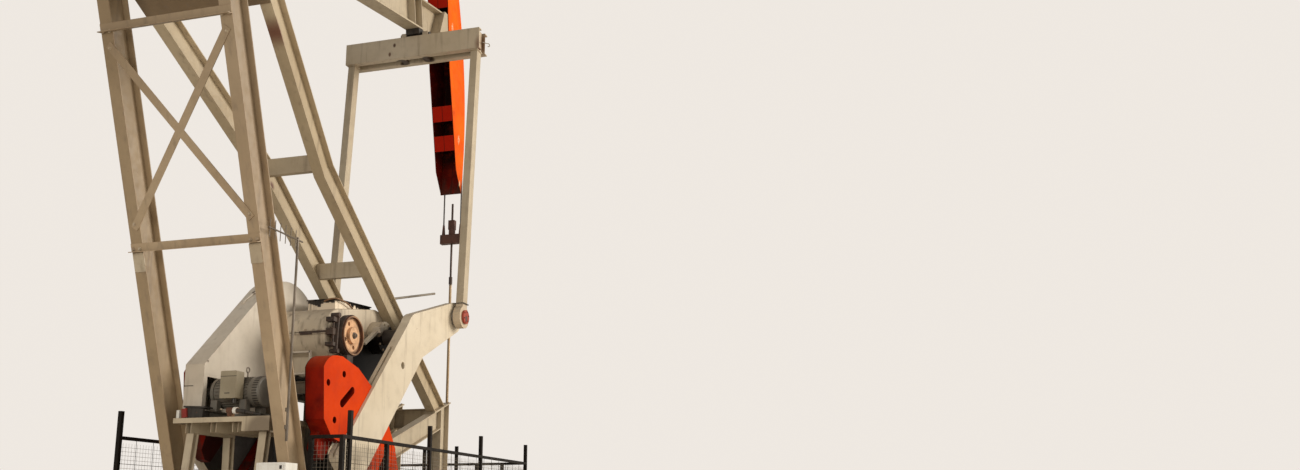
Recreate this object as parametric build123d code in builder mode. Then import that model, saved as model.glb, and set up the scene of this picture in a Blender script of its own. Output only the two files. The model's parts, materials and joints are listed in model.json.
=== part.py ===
from build123d import *
import os
from math import atan2, cos, degrees, hypot, pi, radians, sin, tan

# Front-mounted beam pumping unit, all sizes in millimetres.
# +X points to the well, +Y to the left of the unit, +Z up, ground at Z = 0.
# The origin lies on the ground under the crankshaft, in the middle plane.
os.makedirs("parts", exist_ok=True)

# Main points of the mechanism
PIVOT_X = -4750.0
PIVOT_Z = 8550.0
SHAFT_Z = 4220.0
BEAM_TILT = 10.1
HEAD_RADIUS = 8020.0
EQ_PIVOT_X = PIVOT_X + HEAD_RADIUS - 1670.0
EQ_SLOPE = 1225.0 / 6350.0
EQ_PIVOT_Z = PIVOT_Z + EQ_SLOPE * (EQ_PIVOT_X - PIVOT_X)
CRANK_THROW = 1344.0
PIN_ANGLE = 22.1

# Fits
SEAT = 0.3
RUNNING_FIT = 0.05
TURN_GAP = 10.0

# Base frame
RAIL_Y = 790.0
RAIL_START_X = -3200.0
RAIL_END_X = 2750.0
RAIL_DEPTH = 400.0
RAIL_FLANGE = 200.0
RAIL_WEB_T = 12.0
RAIL_FLANGE_T = 20.0
REAR_CROSS_X = -3050.0
LEG_CROSS_X = -2034.0
STAND_REAR_X = -1350.0
STAND_FRONT_X = -450.0
MID_CROSS_X = 1100.0
POST_X = 2150.0
ANCHOR_HOLE_R = 18.0
ANCHOR_REAR_X = -3000.0
ANCHOR_FRONT_X = 2550.0
ANCHOR_Y = 843.0

# Legs of the samson post
LEG_DEPTH = 328.0
LEG_FLANGE = 154.0
LEG_WEB_T = 10.0
LEG_FLANGE_T = 14.0
HEAD_Z = 8340.0
REAR_LEG_HEAD_X = -4662.0
FOOT_T = 20.0
FOOT_LENGTH = 520.0
FRONT_LEG_DEPTH = 315.0
FRONT_LEG_Y = 423.0
FRONT_HEAD_Y = 919.0
FRONT_FOOT_X = 1963.0
FRONT_FOOT_Z = 3371.0
KINK_X = -1715.0
KINK_Z = 6200.0
FRONT_HEAD_X = -4419.0
RUNG_DEPTH = 230.0
RUNG_FLANGE = 80.0
RUNG_T = 12.0
LOW_RUNG_Z = 5175.0
KINK_RUNG_Z = 6280.0
HEAD_PLATE_T = 12.0
HEAD_PLATE_LOW_Z = 7570.0
HEAD_PLATE_TOP_Z = 8000.0

# Bracing on the rear faces of the rear legs
TOP_BAR_Z = 7120.0
LOW_BAR_Z = 4735.0
BAR_WIDTH = 100.0
BAR_T = 10.0
BRACE_WIDTH = 95.0
BRACE_TOP_Z = 6990.0
BRACE_LOW_Z = 4900.0

# Front posts and struts
POST_DEPTH = 300.0
POST_FLANGE = 154.0
STRUT_DEPTH = 305.0
STRUT_SLOPE = 0.37
KNEE_T = 20.0
KNEE_REAR_X = 1745.0
KNEE_FRONT_X = 2335.0
FRONT_BEAM_DEPTH = 320.0
FRONT_BEAM_FLANGE = 150.0
FRONT_BEAM_Z = 3090.0

# Head of the post and saddle bearing
TOP_PLATE_T = 30.0
TOP_PLATE_REAR_X = -5000.0
TOP_PLATE_FRONT_X = -4220.0
TOP_PLATE_Y = 1030.0
TOP_BEAM_DEPTH = 220.0
TOP_BEAM_FLANGE = 200.0
SADDLE_PIN_R = 70.0
SADDLE_HUB_R = 115.0
SADDLE_HUB_Y = 130.0
SADDLE_BLOCK_Y = 190.0
SADDLE_BLOCK_WIDTH = 170.0
SADDLE_BLOCK_R = 130.0
SADDLE_FOOT_LENGTH = 460.0
SADDLE_FOOT_T = 50.0

# Walking beam
BEAM_UNDERSIDE = 190.0
BEAM_DEPTH = 550.0
BEAM_FLANGE = 270.0
BEAM_WEB_T = 16.0
BEAM_FLANGE_T = 28.0
BEAM_TAIL = 620.0
BEAM_LOW_END = HEAD_RADIUS - 1540.0
BEAM_WEB_END = HEAD_RADIUS - 1030.0
BEAM_TOP_END = HEAD_RADIUS - 720.0
STIFFENER_T = 16.0
STIFFENER_MID = 2400.0
STIFFENER_REAR = HEAD_RADIUS - 1830.0
STIFFENER_FRONT = HEAD_RADIUS - 1565.0

# Horsehead
HEAD_FRONT_X = PIVOT_X + HEAD_RADIUS
HEAD_HALF_WIDTH = 200.0
HEAD_SKIN_T = 12.0
HEAD_FACE_T = 20.0
HEAD_TOP_ANGLE = 20.5
HEAD_TIP_ANGLE = -8.0
HEAD_BACK_TOP_X = HEAD_FRONT_X - 940.0
HEAD_BACK_TOP_Z = 11300.0
HEAD_BACK_X = HEAD_FRONT_X - 720.0
HEAD_BACK_Z = 9600.0
HEAD_LOW_X = HEAD_FRONT_X - 320.0
HEAD_LOW_Z = 7800.0
TIE_HEIGHT = 270.0
TIE_LOW_Z = 8150.0
TIE_HIGH_Z = 8670.0
TIE_TOP_Z = 10700.0
SOCKET_T = 20.0
SOCKET_FRONT_X = HEAD_FRONT_X - 510.0

# Bridle, carrier bar and rod
CABLE_R = 14.0
CABLE_Y = 165.0
CARRIER_Z = 6530.0
CARRIER_HEIGHT = 170.0
CARRIER_HALF_Y = 210.0
CARRIER_HALF_X = 50.0
SOCKET_R = 32.0
SOCKET_HEIGHT = 190.0
ROD_R = 19.0
ROD_TOP_Z = 7280.0
COUPLING_Z = 5780.0
COUPLING_R = 32.0
COUPLING_LENGTH = 130.0
LOWER_ROD_R = 24.0
ROD_END_Z = 1000.0
CELL_R = 60.0
CELL_HEIGHT = 95.0
CLAMP_HEIGHT = 170.0
CLAMP_HALF = 48.0

# Equalizer and pitmans
EQ_BOTTOM_Z = EQ_PIVOT_Z - 445.0
EQ_TOP_Z = EQ_PIVOT_Z - 75.0
EQ_HALF_Y = 1240.0
EQ_REAR_X = EQ_PIVOT_X - 160.0
EQ_FRONT_WEB_X = EQ_PIVOT_X + 90.0
EQ_CHANNEL_FLANGE = 105.0
EQ_WEB_T = 14.0
EQ_FLANGE_T = 18.0
EQ_PIN_R = 48.0
EQ_HUB_R = 66.0
EQ_HUB_Y = 122.0
EQ_BLOCK_Y = 150.0
EQ_BLOCK_WIDTH = 95.0
PITMAN_Y = 1140.0
PITMAN_DEPTH = 160.0
PITMAN_WIDTH = 120.0
PITMAN_WALL = 8.0
PITMAN_TOP_T = 20.0
BEARING_R = 175.0
BEARING_NECK = 215.0
BEARING_CAP_R = 110.0
BEARING_CAP_T = 35.0

# Cranks and counterweights
CRANK_INNER_Y = 900.0
CRANK_OUTER_Y = 1040.0
SHAFT_R = 110.0
HUB_R = 330.0
TIP_R = 235.0
TAIL_ANGLE = 228.5
TAIL_HALF = 320.0
TAIL_LENGTH = 2750.0
TAIL_CORNER_R = 90.0
CRANK_HOLE_R = 50.0
CRANK_HOLE_AT = 655.0
SLOT_WIDTH = 26.0
SLOT_DEPTH = 45.0
SLOT_START = 620.0
PIN_R = 80.0
PIN_BOSS_R = 140.0
PIN_BOSS_T = 30.0
PIN_NUT_R = 115.0
PIN_NUT_T = 60.0
WEIGHT_INNER_Y = 740.0
WEIGHT_OUTER_Y = 1000.0
WEIGHT_START = 1461.0
WEIGHT_END = 2631.0
WEIGHT_SHOULDER = 1750.0
WEIGHT_RISE = 1080.0
WEIGHT_CREST = 1281.0
WEIGHT_BOLT_R = 42.0
WEIGHT_HOLE_REAR = 1880.0
WEIGHT_HOLE_MID = 2230.0
WEIGHT_HOLE_END = 2440.0
WEIGHT_SLOT_R = 50.0
WEIGHT_SLOT_LENGTH = 400.0
LUG_T = 130.0
LUG_LENGTH = 225.0

# Gear reducer
INPUT_X = -1040.0
INPUT_Z = 4070.0
CASE_HALF_Y = 400.0
CASE_FRONT_HALF_Y = 335.0
CASE_STEP_X = -420.0
CASE_REAR_R = 380.0
CASE_FRONT_R = 420.0
CASE_BOTTOM_Z = 3450.0
CASE_FOOT_REAR_X = -1300.0
CASE_FOOT_FRONT_X = 340.0
CASE_FOOT_HALF_Y = 410.0
CASE_FOOT_T = 40.0
SPLIT_T = 50.0
SPLIT_LIP = 25.0
BOSS_R = 235.0
BOSS_T = 185.0
INPUT_BOSS_R = 130.0
INPUT_BOSS_T = 40.0
COVER_REAR_X = -910.0
COVER_FRONT_X = 50.0
COVER_REAR_Z = 4620.0
COVER_FRONT_Z = 4690.0
COVER_NOSE_X = 400.0
COVER_NOSE_Z = 4500.0
COVER_HALF_Y = 210.0
LID_T = 16.0
LID_LIP = 20.0

# Brake and input shaft
INPUT_SHAFT_R = 45.0
DRUM_R = 270.0
DRUM_INNER_Y = 470.0
DRUM_OUTER_Y = 605.0
DRUM_RIM_T = 22.0
DRUM_WEB_T = 24.0
BAND_GAP = 6.0
BAND_T = 8.0
BAND_WIDTH = 90.0

# Gearbox stand
STAND_Y = 330.0
STAND_POST_DEPTH = 250.0
STAND_POST_FLANGE = 150.0
STAND_BEAM_DEPTH = 220.0
STAND_BEAM_REAR_X = -1620.0
STAND_BEAM_FRONT_X = 420.0
STAND_TIE_Z = 1850.0
STAND_TIE_DEPTH = 160.0
HEADER_DEPTH = 340.0
HEADER_T = 80.0
HEADER_MID_Z = 2350.0

# Height of the motor platform
PLATFORM_TOP_Z = 2800.0

# Belt guard
BELT_NEAR_Y = 430.0
BELT_FAR_Y = 700.0
BELT_R = 800.0
BELT_REAR_X = -2750.0
BELT_SHOULDER_X = -2250.0
BELT_SHOULDER_Z = PLATFORM_TOP_Z + 680.0
BELT_WALL = 4.0
BELT_WINDOW_REAR_X = -2680.0
BELT_WINDOW_FRONT_X = -2370.0
BELT_WINDOW_LOW_Z = PLATFORM_TOP_Z + 130.0
BELT_WINDOW_TOP_Z = PLATFORM_TOP_Z + 530.0

# Motor and its platform
MOTOR_X = -2500.0
MOTOR_Z = PLATFORM_TOP_Z + 340.0
MOTOR_R = 190.0
MOTOR_REAR_Y = -190.0
MOTOR_FRONT_Y = 375.0
MOTOR_FIN_T = 6.0
MOTOR_FIN_HEIGHT = 22.0
MOTOR_SHAFT_R = 30.0
MOTOR_FOOT_HEIGHT = 132.0
FAN_COVER_LENGTH = 110.0
BOX_DEPTH = 150.0
BOX_WIDTH = 220.0
BOX_HEIGHT = 330.0
BOX_Y = 12.0
MOTOR_RAIL_HEIGHT = 100.0
MOTOR_RAIL_WIDTH = 80.0
MOTOR_RAIL_SPREAD = 160.0
PLATFORM_REAR_X = -2950.0
PLATFORM_FRONT_X = -1930.0
PLATFORM_HALF_Y = 660.0
PLATFORM_T = 12.0
PLATFORM_EDGE = 60.0
PLATFORM_RIB = 160.0
APRON_DEPTH = 172.0
APRON_INNER_Y = -290.0
PLATFORM_LEG = 100.0

# Control box, mast and standoff arm
CABINET_WIDTH = 380.0
CABINET_DEPTH = 240.0
CABINET_LOW_Z = 1600.0
CABINET_TOP_Z = 2250.0
CABINET_FRONT_X = -2850.0
CABINET_Y = -810.0
MAST_X = -2930.0
MAST_Y = -885.0
MAST_R = 15.0
MAST_LOW_Z = 2500.0
MAST_TOP_Z = 4920.0
MAST_CLIP_TOP_Z = 2860.0
MAST_CLIP_LOW_Z = 2660.0
BOOM_LENGTH = 700.0
ARM_R = 18.0
ARM_END_X = 1770.0
ARM_END_Z = 5260.0

# Guard fence
GUARD_Y = 1360.0
GUARD_REAR_RIGHT_X = -2500.0
GUARD_REAR_LEFT_X = -3010.0
GUARD_FRONT_X = 3620.0
GUARD_RAIL_Z = 2580.0
GUARD_MID_Z = 1350.0
GUARD_LOW_Z = 120.0
GUARD_POST = 50.0
GUARD_RAIL = 40.0
GUARD_POST_TOP = 2600.0
GUARD_TALL_TOP = 2900.0
GUARD_REAR_Y = -945.0
GUARD_ARM = 60.0
WIRE_PITCH = 300.0
WIRE_T = 4.0


def i_section(depth, flange, web_t, flange_t):
    """Wide-flange section, its depth along local Y."""
    with BuildSketch() as section:
        Rectangle(flange, depth)
        with Locations(((flange + web_t) / 4, 0), (-(flange + web_t) / 4, 0)):
            Rectangle((flange - web_t) / 2, depth - 2 * flange_t, mode=Mode.SUBTRACT)
    return section.sketch


def channel(depth, flange, web_t, flange_t):
    """Channel section, its web at local X = 0 and its flanges towards +X."""
    with BuildSketch() as section:
        with Locations((flange / 2, 0)):
            Rectangle(flange, depth)
        with Locations(((flange + web_t) / 2, 0)):
            Rectangle(flange - web_t, depth - 2 * flange_t, mode=Mode.SUBTRACT)
    return section.sketch


def member_plane(start, end):
    """Plane at start, its Z along the member and its X as near +Y as it can be."""
    axis = (Vector(*end) - Vector(*start)).normalized()
    side = (Vector(0, 1, 0) - axis * axis.Y).normalized()
    return Plane(origin=start, x_dir=side, z_dir=axis)


def distance(start, end):
    return (Vector(*end) - Vector(*start)).length


def polar(x, z, radius, angle):
    return (x + radius * cos(radians(angle)), z + radius * sin(radians(angle)))


PIN_X, PIN_Z = polar(0, SHAFT_Z, CRANK_THROW, PIN_ANGLE)
CABLE_X = PIVOT_X + HEAD_RADIUS + CABLE_R + SEAT
LEG_OVER = 600.0

leg_section = i_section(LEG_DEPTH, LEG_FLANGE, LEG_WEB_T, LEG_FLANGE_T)
front_leg_section = i_section(FRONT_LEG_DEPTH, LEG_FLANGE, LEG_WEB_T, LEG_FLANGE_T)
rail_section = i_section(RAIL_DEPTH, RAIL_FLANGE, RAIL_WEB_T, RAIL_FLANGE_T)
post_section = i_section(POST_DEPTH, POST_FLANGE, LEG_WEB_T, LEG_FLANGE_T)
strut_section = i_section(STRUT_DEPTH, POST_FLANGE, LEG_WEB_T, LEG_FLANGE_T)
front_beam_section = i_section(FRONT_BEAM_DEPTH, FRONT_BEAM_FLANGE, LEG_WEB_T, LEG_FLANGE_T)
stand_section = i_section(STAND_POST_DEPTH, STAND_POST_FLANGE, LEG_WEB_T, LEG_FLANGE_T)
stand_beam_section = i_section(STAND_BEAM_DEPTH, STAND_POST_FLANGE, LEG_WEB_T, LEG_FLANGE_T)
stand_tie_section = i_section(STAND_TIE_DEPTH, STAND_POST_FLANGE / 2, LEG_WEB_T, LEG_FLANGE_T)
top_beam_section = i_section(TOP_BEAM_DEPTH, TOP_BEAM_FLANGE, LEG_WEB_T, LEG_FLANGE_T)
rung_section = channel(RUNG_DEPTH, RUNG_FLANGE, RUNG_T, RUNG_T)
beam_section = i_section(BEAM_DEPTH, BEAM_FLANGE, BEAM_WEB_T, BEAM_FLANGE_T)

# Base frame: two rails, with foundation holes in their outer bottom flanges
with BuildPart() as base_rails:
    with BuildSketch(Plane.YZ.offset(RAIL_START_X)):
        with Locations((RAIL_Y, RAIL_DEPTH / 2), (-RAIL_Y, RAIL_DEPTH / 2)):
            add(rail_section)
    extrude(amount=RAIL_END_X - RAIL_START_X)
    with BuildSketch(Plane.XY):
        for hole_x in (ANCHOR_REAR_X, ANCHOR_FRONT_X):
            with Locations((hole_x, ANCHOR_Y), (hole_x, -ANCHOR_Y)):
                Circle(ANCHOR_HOLE_R)
    extrude(amount=RAIL_FLANGE_T, mode=Mode.SUBTRACT)
base_rails.part.label = "base_rails"
export_step(base_rails.part, "parts/base_rails.step")

CROSS_HALF = RAIL_Y - RAIL_FLANGE / 2 - SEAT
with BuildPart() as base_crossbeams:
    with BuildSketch(Plane.XZ.offset(-CROSS_HALF)):
        for cross_x in (REAR_CROSS_X, LEG_CROSS_X, STAND_REAR_X, STAND_FRONT_X, 0, MID_CROSS_X, POST_X):
            with Locations((cross_x, RAIL_DEPTH / 2)):
                add(rail_section)
    extrude(amount=2 * CROSS_HALF)
base_crossbeams.part.label = "base_crossbeams"
export_step(base_crossbeams.part, "parts/base_crossbeams.step")

# Rear legs, one on each rail, leaning back to the head of the post
rear_foot = (LEG_CROSS_X, RAIL_Y, RAIL_DEPTH)
rear_head = (REAR_LEG_HEAD_X, RAIL_Y, HEAD_Z)
rear_plane = member_plane(rear_foot, rear_head)
with BuildPart() as rear_leg_left:
    with BuildSketch(rear_plane.offset(-LEG_OVER)):
        add(leg_section)
    extrude(amount=distance(rear_foot, rear_head) + 2 * LEG_OVER)
    split(bisect_by=Plane.XY.offset(RAIL_DEPTH + FOOT_T / 2), keep=Keep.TOP)
    split(bisect_by=Plane.XY.offset(HEAD_Z), keep=Keep.BOTTOM)
    with BuildSketch(Plane.XY.offset(RAIL_DEPTH)):
        with Locations((LEG_CROSS_X, RAIL_Y)):
            Rectangle(FOOT_LENGTH, RAIL_FLANGE)
    extrude(amount=FOOT_T)
rear_leg_left.part.label = "rear_leg_left"
export_step(rear_leg_left.part, "parts/rear_leg_left.step")

with BuildPart() as rear_leg_right:
    add(mirror(rear_leg_left.part, about=Plane.XZ, mode=Mode.PRIVATE))
rear_leg_right.part.label = "rear_leg_right"
export_step(rear_leg_right.part, "parts/rear_leg_right.step")

# Plane of the rear faces of the rear legs, its Z pointing back and down
rear_lean = (REAR_LEG_HEAD_X - LEG_CROSS_X) / (HEAD_Z - RAIL_DEPTH)
rear_half = LEG_DEPTH / 2 * hypot(1, rear_lean)


def rear_face(z):
    x = LEG_CROSS_X + rear_lean * (z - RAIL_DEPTH) - rear_half
    return Plane(origin=(x, 0, z), x_dir=(0, 1, 0), z_dir=(-1, 0, rear_lean))


BAR_LENGTH = 2 * RAIL_Y + LEG_FLANGE
with BuildPart() as rear_crossbars:
    for bar_z in (TOP_BAR_Z, LOW_BAR_Z):
        with BuildSketch(rear_face(bar_z)):
            Rectangle(BAR_LENGTH, BAR_WIDTH)
        extrude(amount=BAR_T)
        with BuildSketch(rear_face(bar_z)):
            with Locations((0, (BAR_WIDTH - BAR_T) / 2)):
                Rectangle(BAR_LENGTH, BAR_T)
        extrude(amount=BAR_WIDTH * 0.7)
rear_crossbars.part.label = "rear_crossbars"
export_step(rear_crossbars.part, "parts/rear_crossbars.step")

brace_mid_z = (BRACE_TOP_Z + BRACE_LOW_Z) / 2
brace_rise = (BRACE_TOP_Z - BRACE_LOW_Z) * hypot(1, rear_lean) - BRACE_WIDTH
brace_angle = degrees(atan2(brace_rise, 2 * RAIL_Y))
with BuildPart() as rear_braces:
    with BuildSketch(rear_face(brace_mid_z)):
        Rectangle(hypot(brace_rise, 2 * RAIL_Y), BRACE_WIDTH, rotation=brace_angle)
        Rectangle(hypot(brace_rise, 2 * RAIL_Y), BRACE_WIDTH, rotation=-brace_angle)
    extrude(amount=BAR_T)
rear_braces.part.label = "rear_braces"
export_step(rear_braces.part, "parts/rear_braces.step")

# Strut line: its top edge is the seat of the knee plate on the front post
knee_seat_z = FRONT_FOOT_Z + STRUT_SLOPE * (POST_X - FRONT_FOOT_X)
knee_plane = Plane(origin=(POST_X, 0, knee_seat_z), x_dir=(0, 1, 0), z_dir=(-STRUT_SLOPE, 0, 1))

# Front posts with their inclined knee plates
with BuildPart() as front_posts:
    with BuildSketch(Plane.XY.offset(RAIL_DEPTH)):
        with Locations((POST_X, FRONT_LEG_Y), (POST_X, -FRONT_LEG_Y)):
            add(post_section, rotation=90)
    extrude(amount=knee_seat_z)
    split(bisect_by=knee_plane, keep=Keep.BOTTOM)
    with BuildSketch(Plane.XY.offset(RAIL_DEPTH)):
        with Locations((POST_X, FRONT_LEG_Y), (POST_X, -FRONT_LEG_Y)):
            Rectangle(POST_DEPTH + 60, POST_FLANGE + 40)
    extrude(amount=FOOT_T)
    with BuildSketch(knee_plane):
        for side in (1, -1):
            with Locations((side * FRONT_LEG_Y, POST_X - (KNEE_REAR_X + KNEE_FRONT_X) / 2)):
                Rectangle(POST_FLANGE + 20, (KNEE_FRONT_X - KNEE_REAR_X) * hypot(1, STRUT_SLOPE))
    extrude(amount=KNEE_T)
front_posts.part.label = "front_posts"
export_step(front_posts.part, "parts/front_posts.step")

# Cross beam between the webs of the two posts, under the knee plates
POST_INNER_Y = FRONT_LEG_Y - LEG_WEB_T / 2 - SEAT
with BuildPart() as front_crossbeam:
    with BuildSketch(Plane.XZ.offset(-POST_INNER_Y)):
        with Locations((POST_X, FRONT_BEAM_Z + FRONT_BEAM_DEPTH / 2)):
            add(front_beam_section)
    extrude(amount=2 * POST_INNER_Y)
front_crossbeam.part.label = "front_crossbeam"
export_step(front_crossbeam.part, "parts/front_crossbeam.step")

# Struts from the posts down to the gearbox stand
strut_start = (POST_X + 200, FRONT_LEG_Y, knee_seat_z + 200 * STRUT_SLOPE)
strut_end = (STAND_FRONT_X - 400, FRONT_LEG_Y, knee_seat_z - (POST_X - STAND_FRONT_X + 400) * STRUT_SLOPE)
strut_plane = member_plane(strut_start, strut_end)
with BuildPart() as front_struts:
    with BuildSketch(strut_plane):
        with Locations((0, STRUT_DEPTH / 2 + SEAT)):
            add(strut_section)
    extrude(amount=distance(strut_start, strut_end))
    split(bisect_by=Plane.YZ.offset(POST_X - POST_DEPTH / 2 - SEAT), keep=Keep.BOTTOM)
    split(bisect_by=Plane.YZ.offset(STAND_FRONT_X + STAND_POST_DEPTH / 2 + HEADER_T + SEAT), keep=Keep.TOP)
    mirror(about=Plane.XZ)
front_struts.part.label = "front_struts"
export_step(front_struts.part, "parts/front_struts.step")

# Front legs: a steep parallel part up to a kink, then a part that spreads to the head
front_foot = (FRONT_FOOT_X, FRONT_LEG_Y, FRONT_FOOT_Z)
kink = (KINK_X, FRONT_LEG_Y, KINK_Z)
front_head = (FRONT_HEAD_X, FRONT_HEAD_Y, HEAD_Z)
lower_plane = member_plane(front_foot, kink)
upper_plane = member_plane(kink, front_head)
kink_cut = Plane(origin=kink, x_dir=(0, 1, 0), z_dir=lower_plane.z_dir)
rear_front_x = LEG_CROSS_X + rear_half + SEAT
leg_mitre = Plane(origin=(rear_front_x, 0, RAIL_DEPTH), x_dir=(0, 1, 0), z_dir=(1, 0, -rear_lean))
with BuildPart() as front_leg_low:
    with BuildSketch(lower_plane.offset(-LEG_OVER)):
        add(front_leg_section)
    extrude(amount=distance(front_foot, kink) + LEG_OVER)
    split(bisect_by=knee_plane.offset(KNEE_T + SEAT), keep=Keep.TOP)
with BuildPart() as front_leg_left:
    with BuildSketch(upper_plane.offset(-LEG_OVER)):
        add(front_leg_section)
    extrude(amount=distance(kink, front_head) + 2 * LEG_OVER)
    split(bisect_by=kink_cut, keep=Keep.TOP)
    split(bisect_by=Plane.XY.offset(HEAD_Z), keep=Keep.BOTTOM)
    split(bisect_by=leg_mitre, keep=Keep.TOP)
    add(front_leg_low.part)
front_leg_left.part.label = "front_leg_left"
export_step(front_leg_left.part, "parts/front_leg_left.step")

with BuildPart() as front_leg_right:
    add(mirror(front_leg_left.part, about=Plane.XZ, mode=Mode.PRIVATE))
front_leg_right.part.label = "front_leg_right"
export_step(front_leg_right.part, "parts/front_leg_right.step")

# Rungs between the webs of the front legs: channels, one low and one at the kink
low_slope = (FRONT_FOOT_X - KINK_X) / (KINK_Z - FRONT_FOOT_Z)
high_slope = (KINK_X - FRONT_HEAD_X) / (HEAD_Z - KINK_Z)
low_rung_x = FRONT_FOOT_X - low_slope * (LOW_RUNG_Z - FRONT_FOOT_Z)
kink_rung_x = KINK_X - high_slope * (KINK_RUNG_Z - KINK_Z)
web_plane = Plane(origin=kink, x_dir=(1, 0, 0), z_dir=-upper_plane.x_dir)
with BuildPart() as front_rungs:
    with BuildSketch(Plane.XZ.offset(-FRONT_LEG_Y - LEG_FLANGE)):
        with Locations((kink_rung_x - RUNG_FLANGE / 2, KINK_RUNG_Z)):
            add(rung_section)
    extrude(amount=2 * (FRONT_LEG_Y + LEG_FLANGE))
    split(bisect_by=web_plane.offset(LEG_WEB_T / 2 + SEAT), keep=Keep.TOP)
    split(bisect_by=Plane.XZ, keep=Keep.BOTTOM)
    mirror(about=Plane.XZ)
    with BuildSketch(Plane.XZ.offset(-POST_INNER_Y)):
        with Locations((low_rung_x - RUNG_FLANGE / 2, LOW_RUNG_Z)):
            add(rung_section)
    extrude(amount=2 * POST_INNER_Y)
front_rungs.part.label = "front_rungs"
export_step(front_rungs.part, "parts/front_rungs.step")

# Closing plate on the rear faces of the spreading legs, a trapezium
plate_plane = Plane(
    origin=(KINK_X, 0, KINK_Z), x_dir=(0, 1, 0), z_dir=(-1, 0, -high_slope)
).offset(FRONT_LEG_DEPTH / 2 + SEAT)
plate_scale = hypot(1, high_slope)
plate_low = (HEAD_PLATE_LOW_Z - plate_plane.origin.Z) * plate_scale
plate_top = (HEAD_PLATE_TOP_Z - plate_plane.origin.Z) * plate_scale
spread = (FRONT_HEAD_Y - FRONT_LEG_Y) / ((HEAD_Z - KINK_Z) * plate_scale)
plate_low_y = FRONT_LEG_Y + spread * plate_low + LEG_FLANGE / 2
plate_top_y = FRONT_LEG_Y + spread * plate_top + LEG_FLANGE / 2
with BuildPart() as front_head_plate:
    with BuildSketch(plate_plane):
        with BuildLine():
            Polyline(
                (-plate_low_y, -plate_low),
                (plate_low_y, -plate_low),
                (plate_top_y, -plate_top),
                (-plate_top_y, -plate_top),
                close=True,
            )
        make_face()
    extrude(amount=HEAD_PLATE_T)
front_head_plate.part.label = "front_head_plate"
export_step(front_head_plate.part, "parts/front_head_plate.step")

# Head of the post: a top plate on the four legs and a cross beam between the rear legs
TOP_BEAM_X = REAR_LEG_HEAD_X - rear_lean * TOP_BEAM_DEPTH / 2
TOP_BEAM_HALF = RAIL_Y - LEG_WEB_T / 2 - SEAT
with BuildPart() as post_head:
    with BuildSketch(Plane.XY.offset(HEAD_Z + SEAT)):
        with Locations(((TOP_PLATE_REAR_X + TOP_PLATE_FRONT_X) / 2, 0)):
            Rectangle(TOP_PLATE_FRONT_X - TOP_PLATE_REAR_X, 2 * TOP_PLATE_Y)
    extrude(amount=TOP_PLATE_T)
    with BuildSketch(Plane.XZ.offset(-TOP_BEAM_HALF)):
        with Locations((TOP_BEAM_X, HEAD_Z + SEAT - TOP_BEAM_DEPTH / 2)):
            add(top_beam_section)
    extrude(amount=2 * TOP_BEAM_HALF)
post_head.part.label = "post_head"
export_step(post_head.part, "parts/post_head.step")

# Saddle bearing: two pillow blocks under the beam's pin
SADDLE_BASE_Z = HEAD_Z + SEAT + TOP_PLATE_T + SEAT
with BuildPart() as saddle_bearings:
    for block_y in (SADDLE_BLOCK_Y, -SADDLE_BLOCK_Y - SADDLE_BLOCK_WIDTH):
        with BuildSketch(Plane.XZ.offset(-block_y - SADDLE_BLOCK_WIDTH)):
            with Locations((PIVOT_X, PIVOT_Z)):
                Circle(SADDLE_BLOCK_R)
            with Locations((PIVOT_X, (PIVOT_Z + SADDLE_BASE_Z) / 2)):
                Rectangle(2 * SADDLE_BLOCK_R, PIVOT_Z - SADDLE_BASE_Z)
            with Locations((PIVOT_X, SADDLE_BASE_Z + SADDLE_FOOT_T / 2)):
                Rectangle(SADDLE_FOOT_LENGTH, SADDLE_FOOT_T)
            with Locations((PIVOT_X, PIVOT_Z)):
                Circle(SADDLE_PIN_R + RUNNING_FIT, mode=Mode.SUBTRACT)
        extrude(amount=SADDLE_BLOCK_WIDTH)
saddle_bearings.part.label = "saddle_bearings"
export_step(saddle_bearings.part, "parts/saddle_bearings.step")

# Walking beam, tilted up to the head, with its lower flange ended before the web
beam_plane = Plane(
    origin=(PIVOT_X, 0, PIVOT_Z),
    x_dir=(0, 1, 0),
    z_dir=(cos(radians(BEAM_TILT)), 0, sin(radians(BEAM_TILT))),
)
beam_side = Plane(origin=(PIVOT_X, 0, PIVOT_Z), x_dir=beam_plane.z_dir, z_dir=(0, -1, 0))
BEAM_TOP = BEAM_UNDERSIDE + BEAM_DEPTH
BEAM_MID = BEAM_UNDERSIDE + BEAM_DEPTH / 2
RIB_HALF = (BEAM_FLANGE - BEAM_WEB_T) / 4
end_slope = (BEAM_TOP_END - BEAM_WEB_END) / BEAM_DEPTH
with BuildPart() as walking_beam:
    with BuildSketch(beam_plane.offset(-BEAM_TAIL)):
        with Locations((0, BEAM_MID)):
            add(beam_section)
    extrude(amount=BEAM_TAIL + BEAM_TOP_END)
    for rib in (-120, 120, STIFFENER_MID, STIFFENER_REAR, STIFFENER_FRONT):
        with BuildSketch(beam_plane.offset(rib)):
            for side in (1, -1):
                with Locations((side * (BEAM_FLANGE + BEAM_WEB_T) / 4, BEAM_MID)):
                    Rectangle(2 * RIB_HALF, BEAM_DEPTH - 2 * BEAM_FLANGE_T)
        extrude(amount=STIFFENER_T)
    with BuildSketch(beam_side.offset(-BEAM_FLANGE)):
        with BuildLine():
            Polyline(
                (BEAM_LOW_END, BEAM_UNDERSIDE - 1),
                (BEAM_LOW_END, BEAM_UNDERSIDE + BEAM_FLANGE_T),
                (BEAM_TOP_END, BEAM_UNDERSIDE + BEAM_FLANGE_T),
                (BEAM_TOP_END, BEAM_UNDERSIDE - 1),
                close=True,
            )
        make_face()
        with BuildLine():
            Polyline(
                (BEAM_WEB_END - end_slope, BEAM_UNDERSIDE - 1),
                (BEAM_TOP_END + end_slope, BEAM_TOP + 1),
                (BEAM_TOP_END + 1, BEAM_UNDERSIDE - 1),
                close=True,
            )
        make_face()
    extrude(amount=2 * BEAM_FLANGE, mode=Mode.SUBTRACT)
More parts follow.
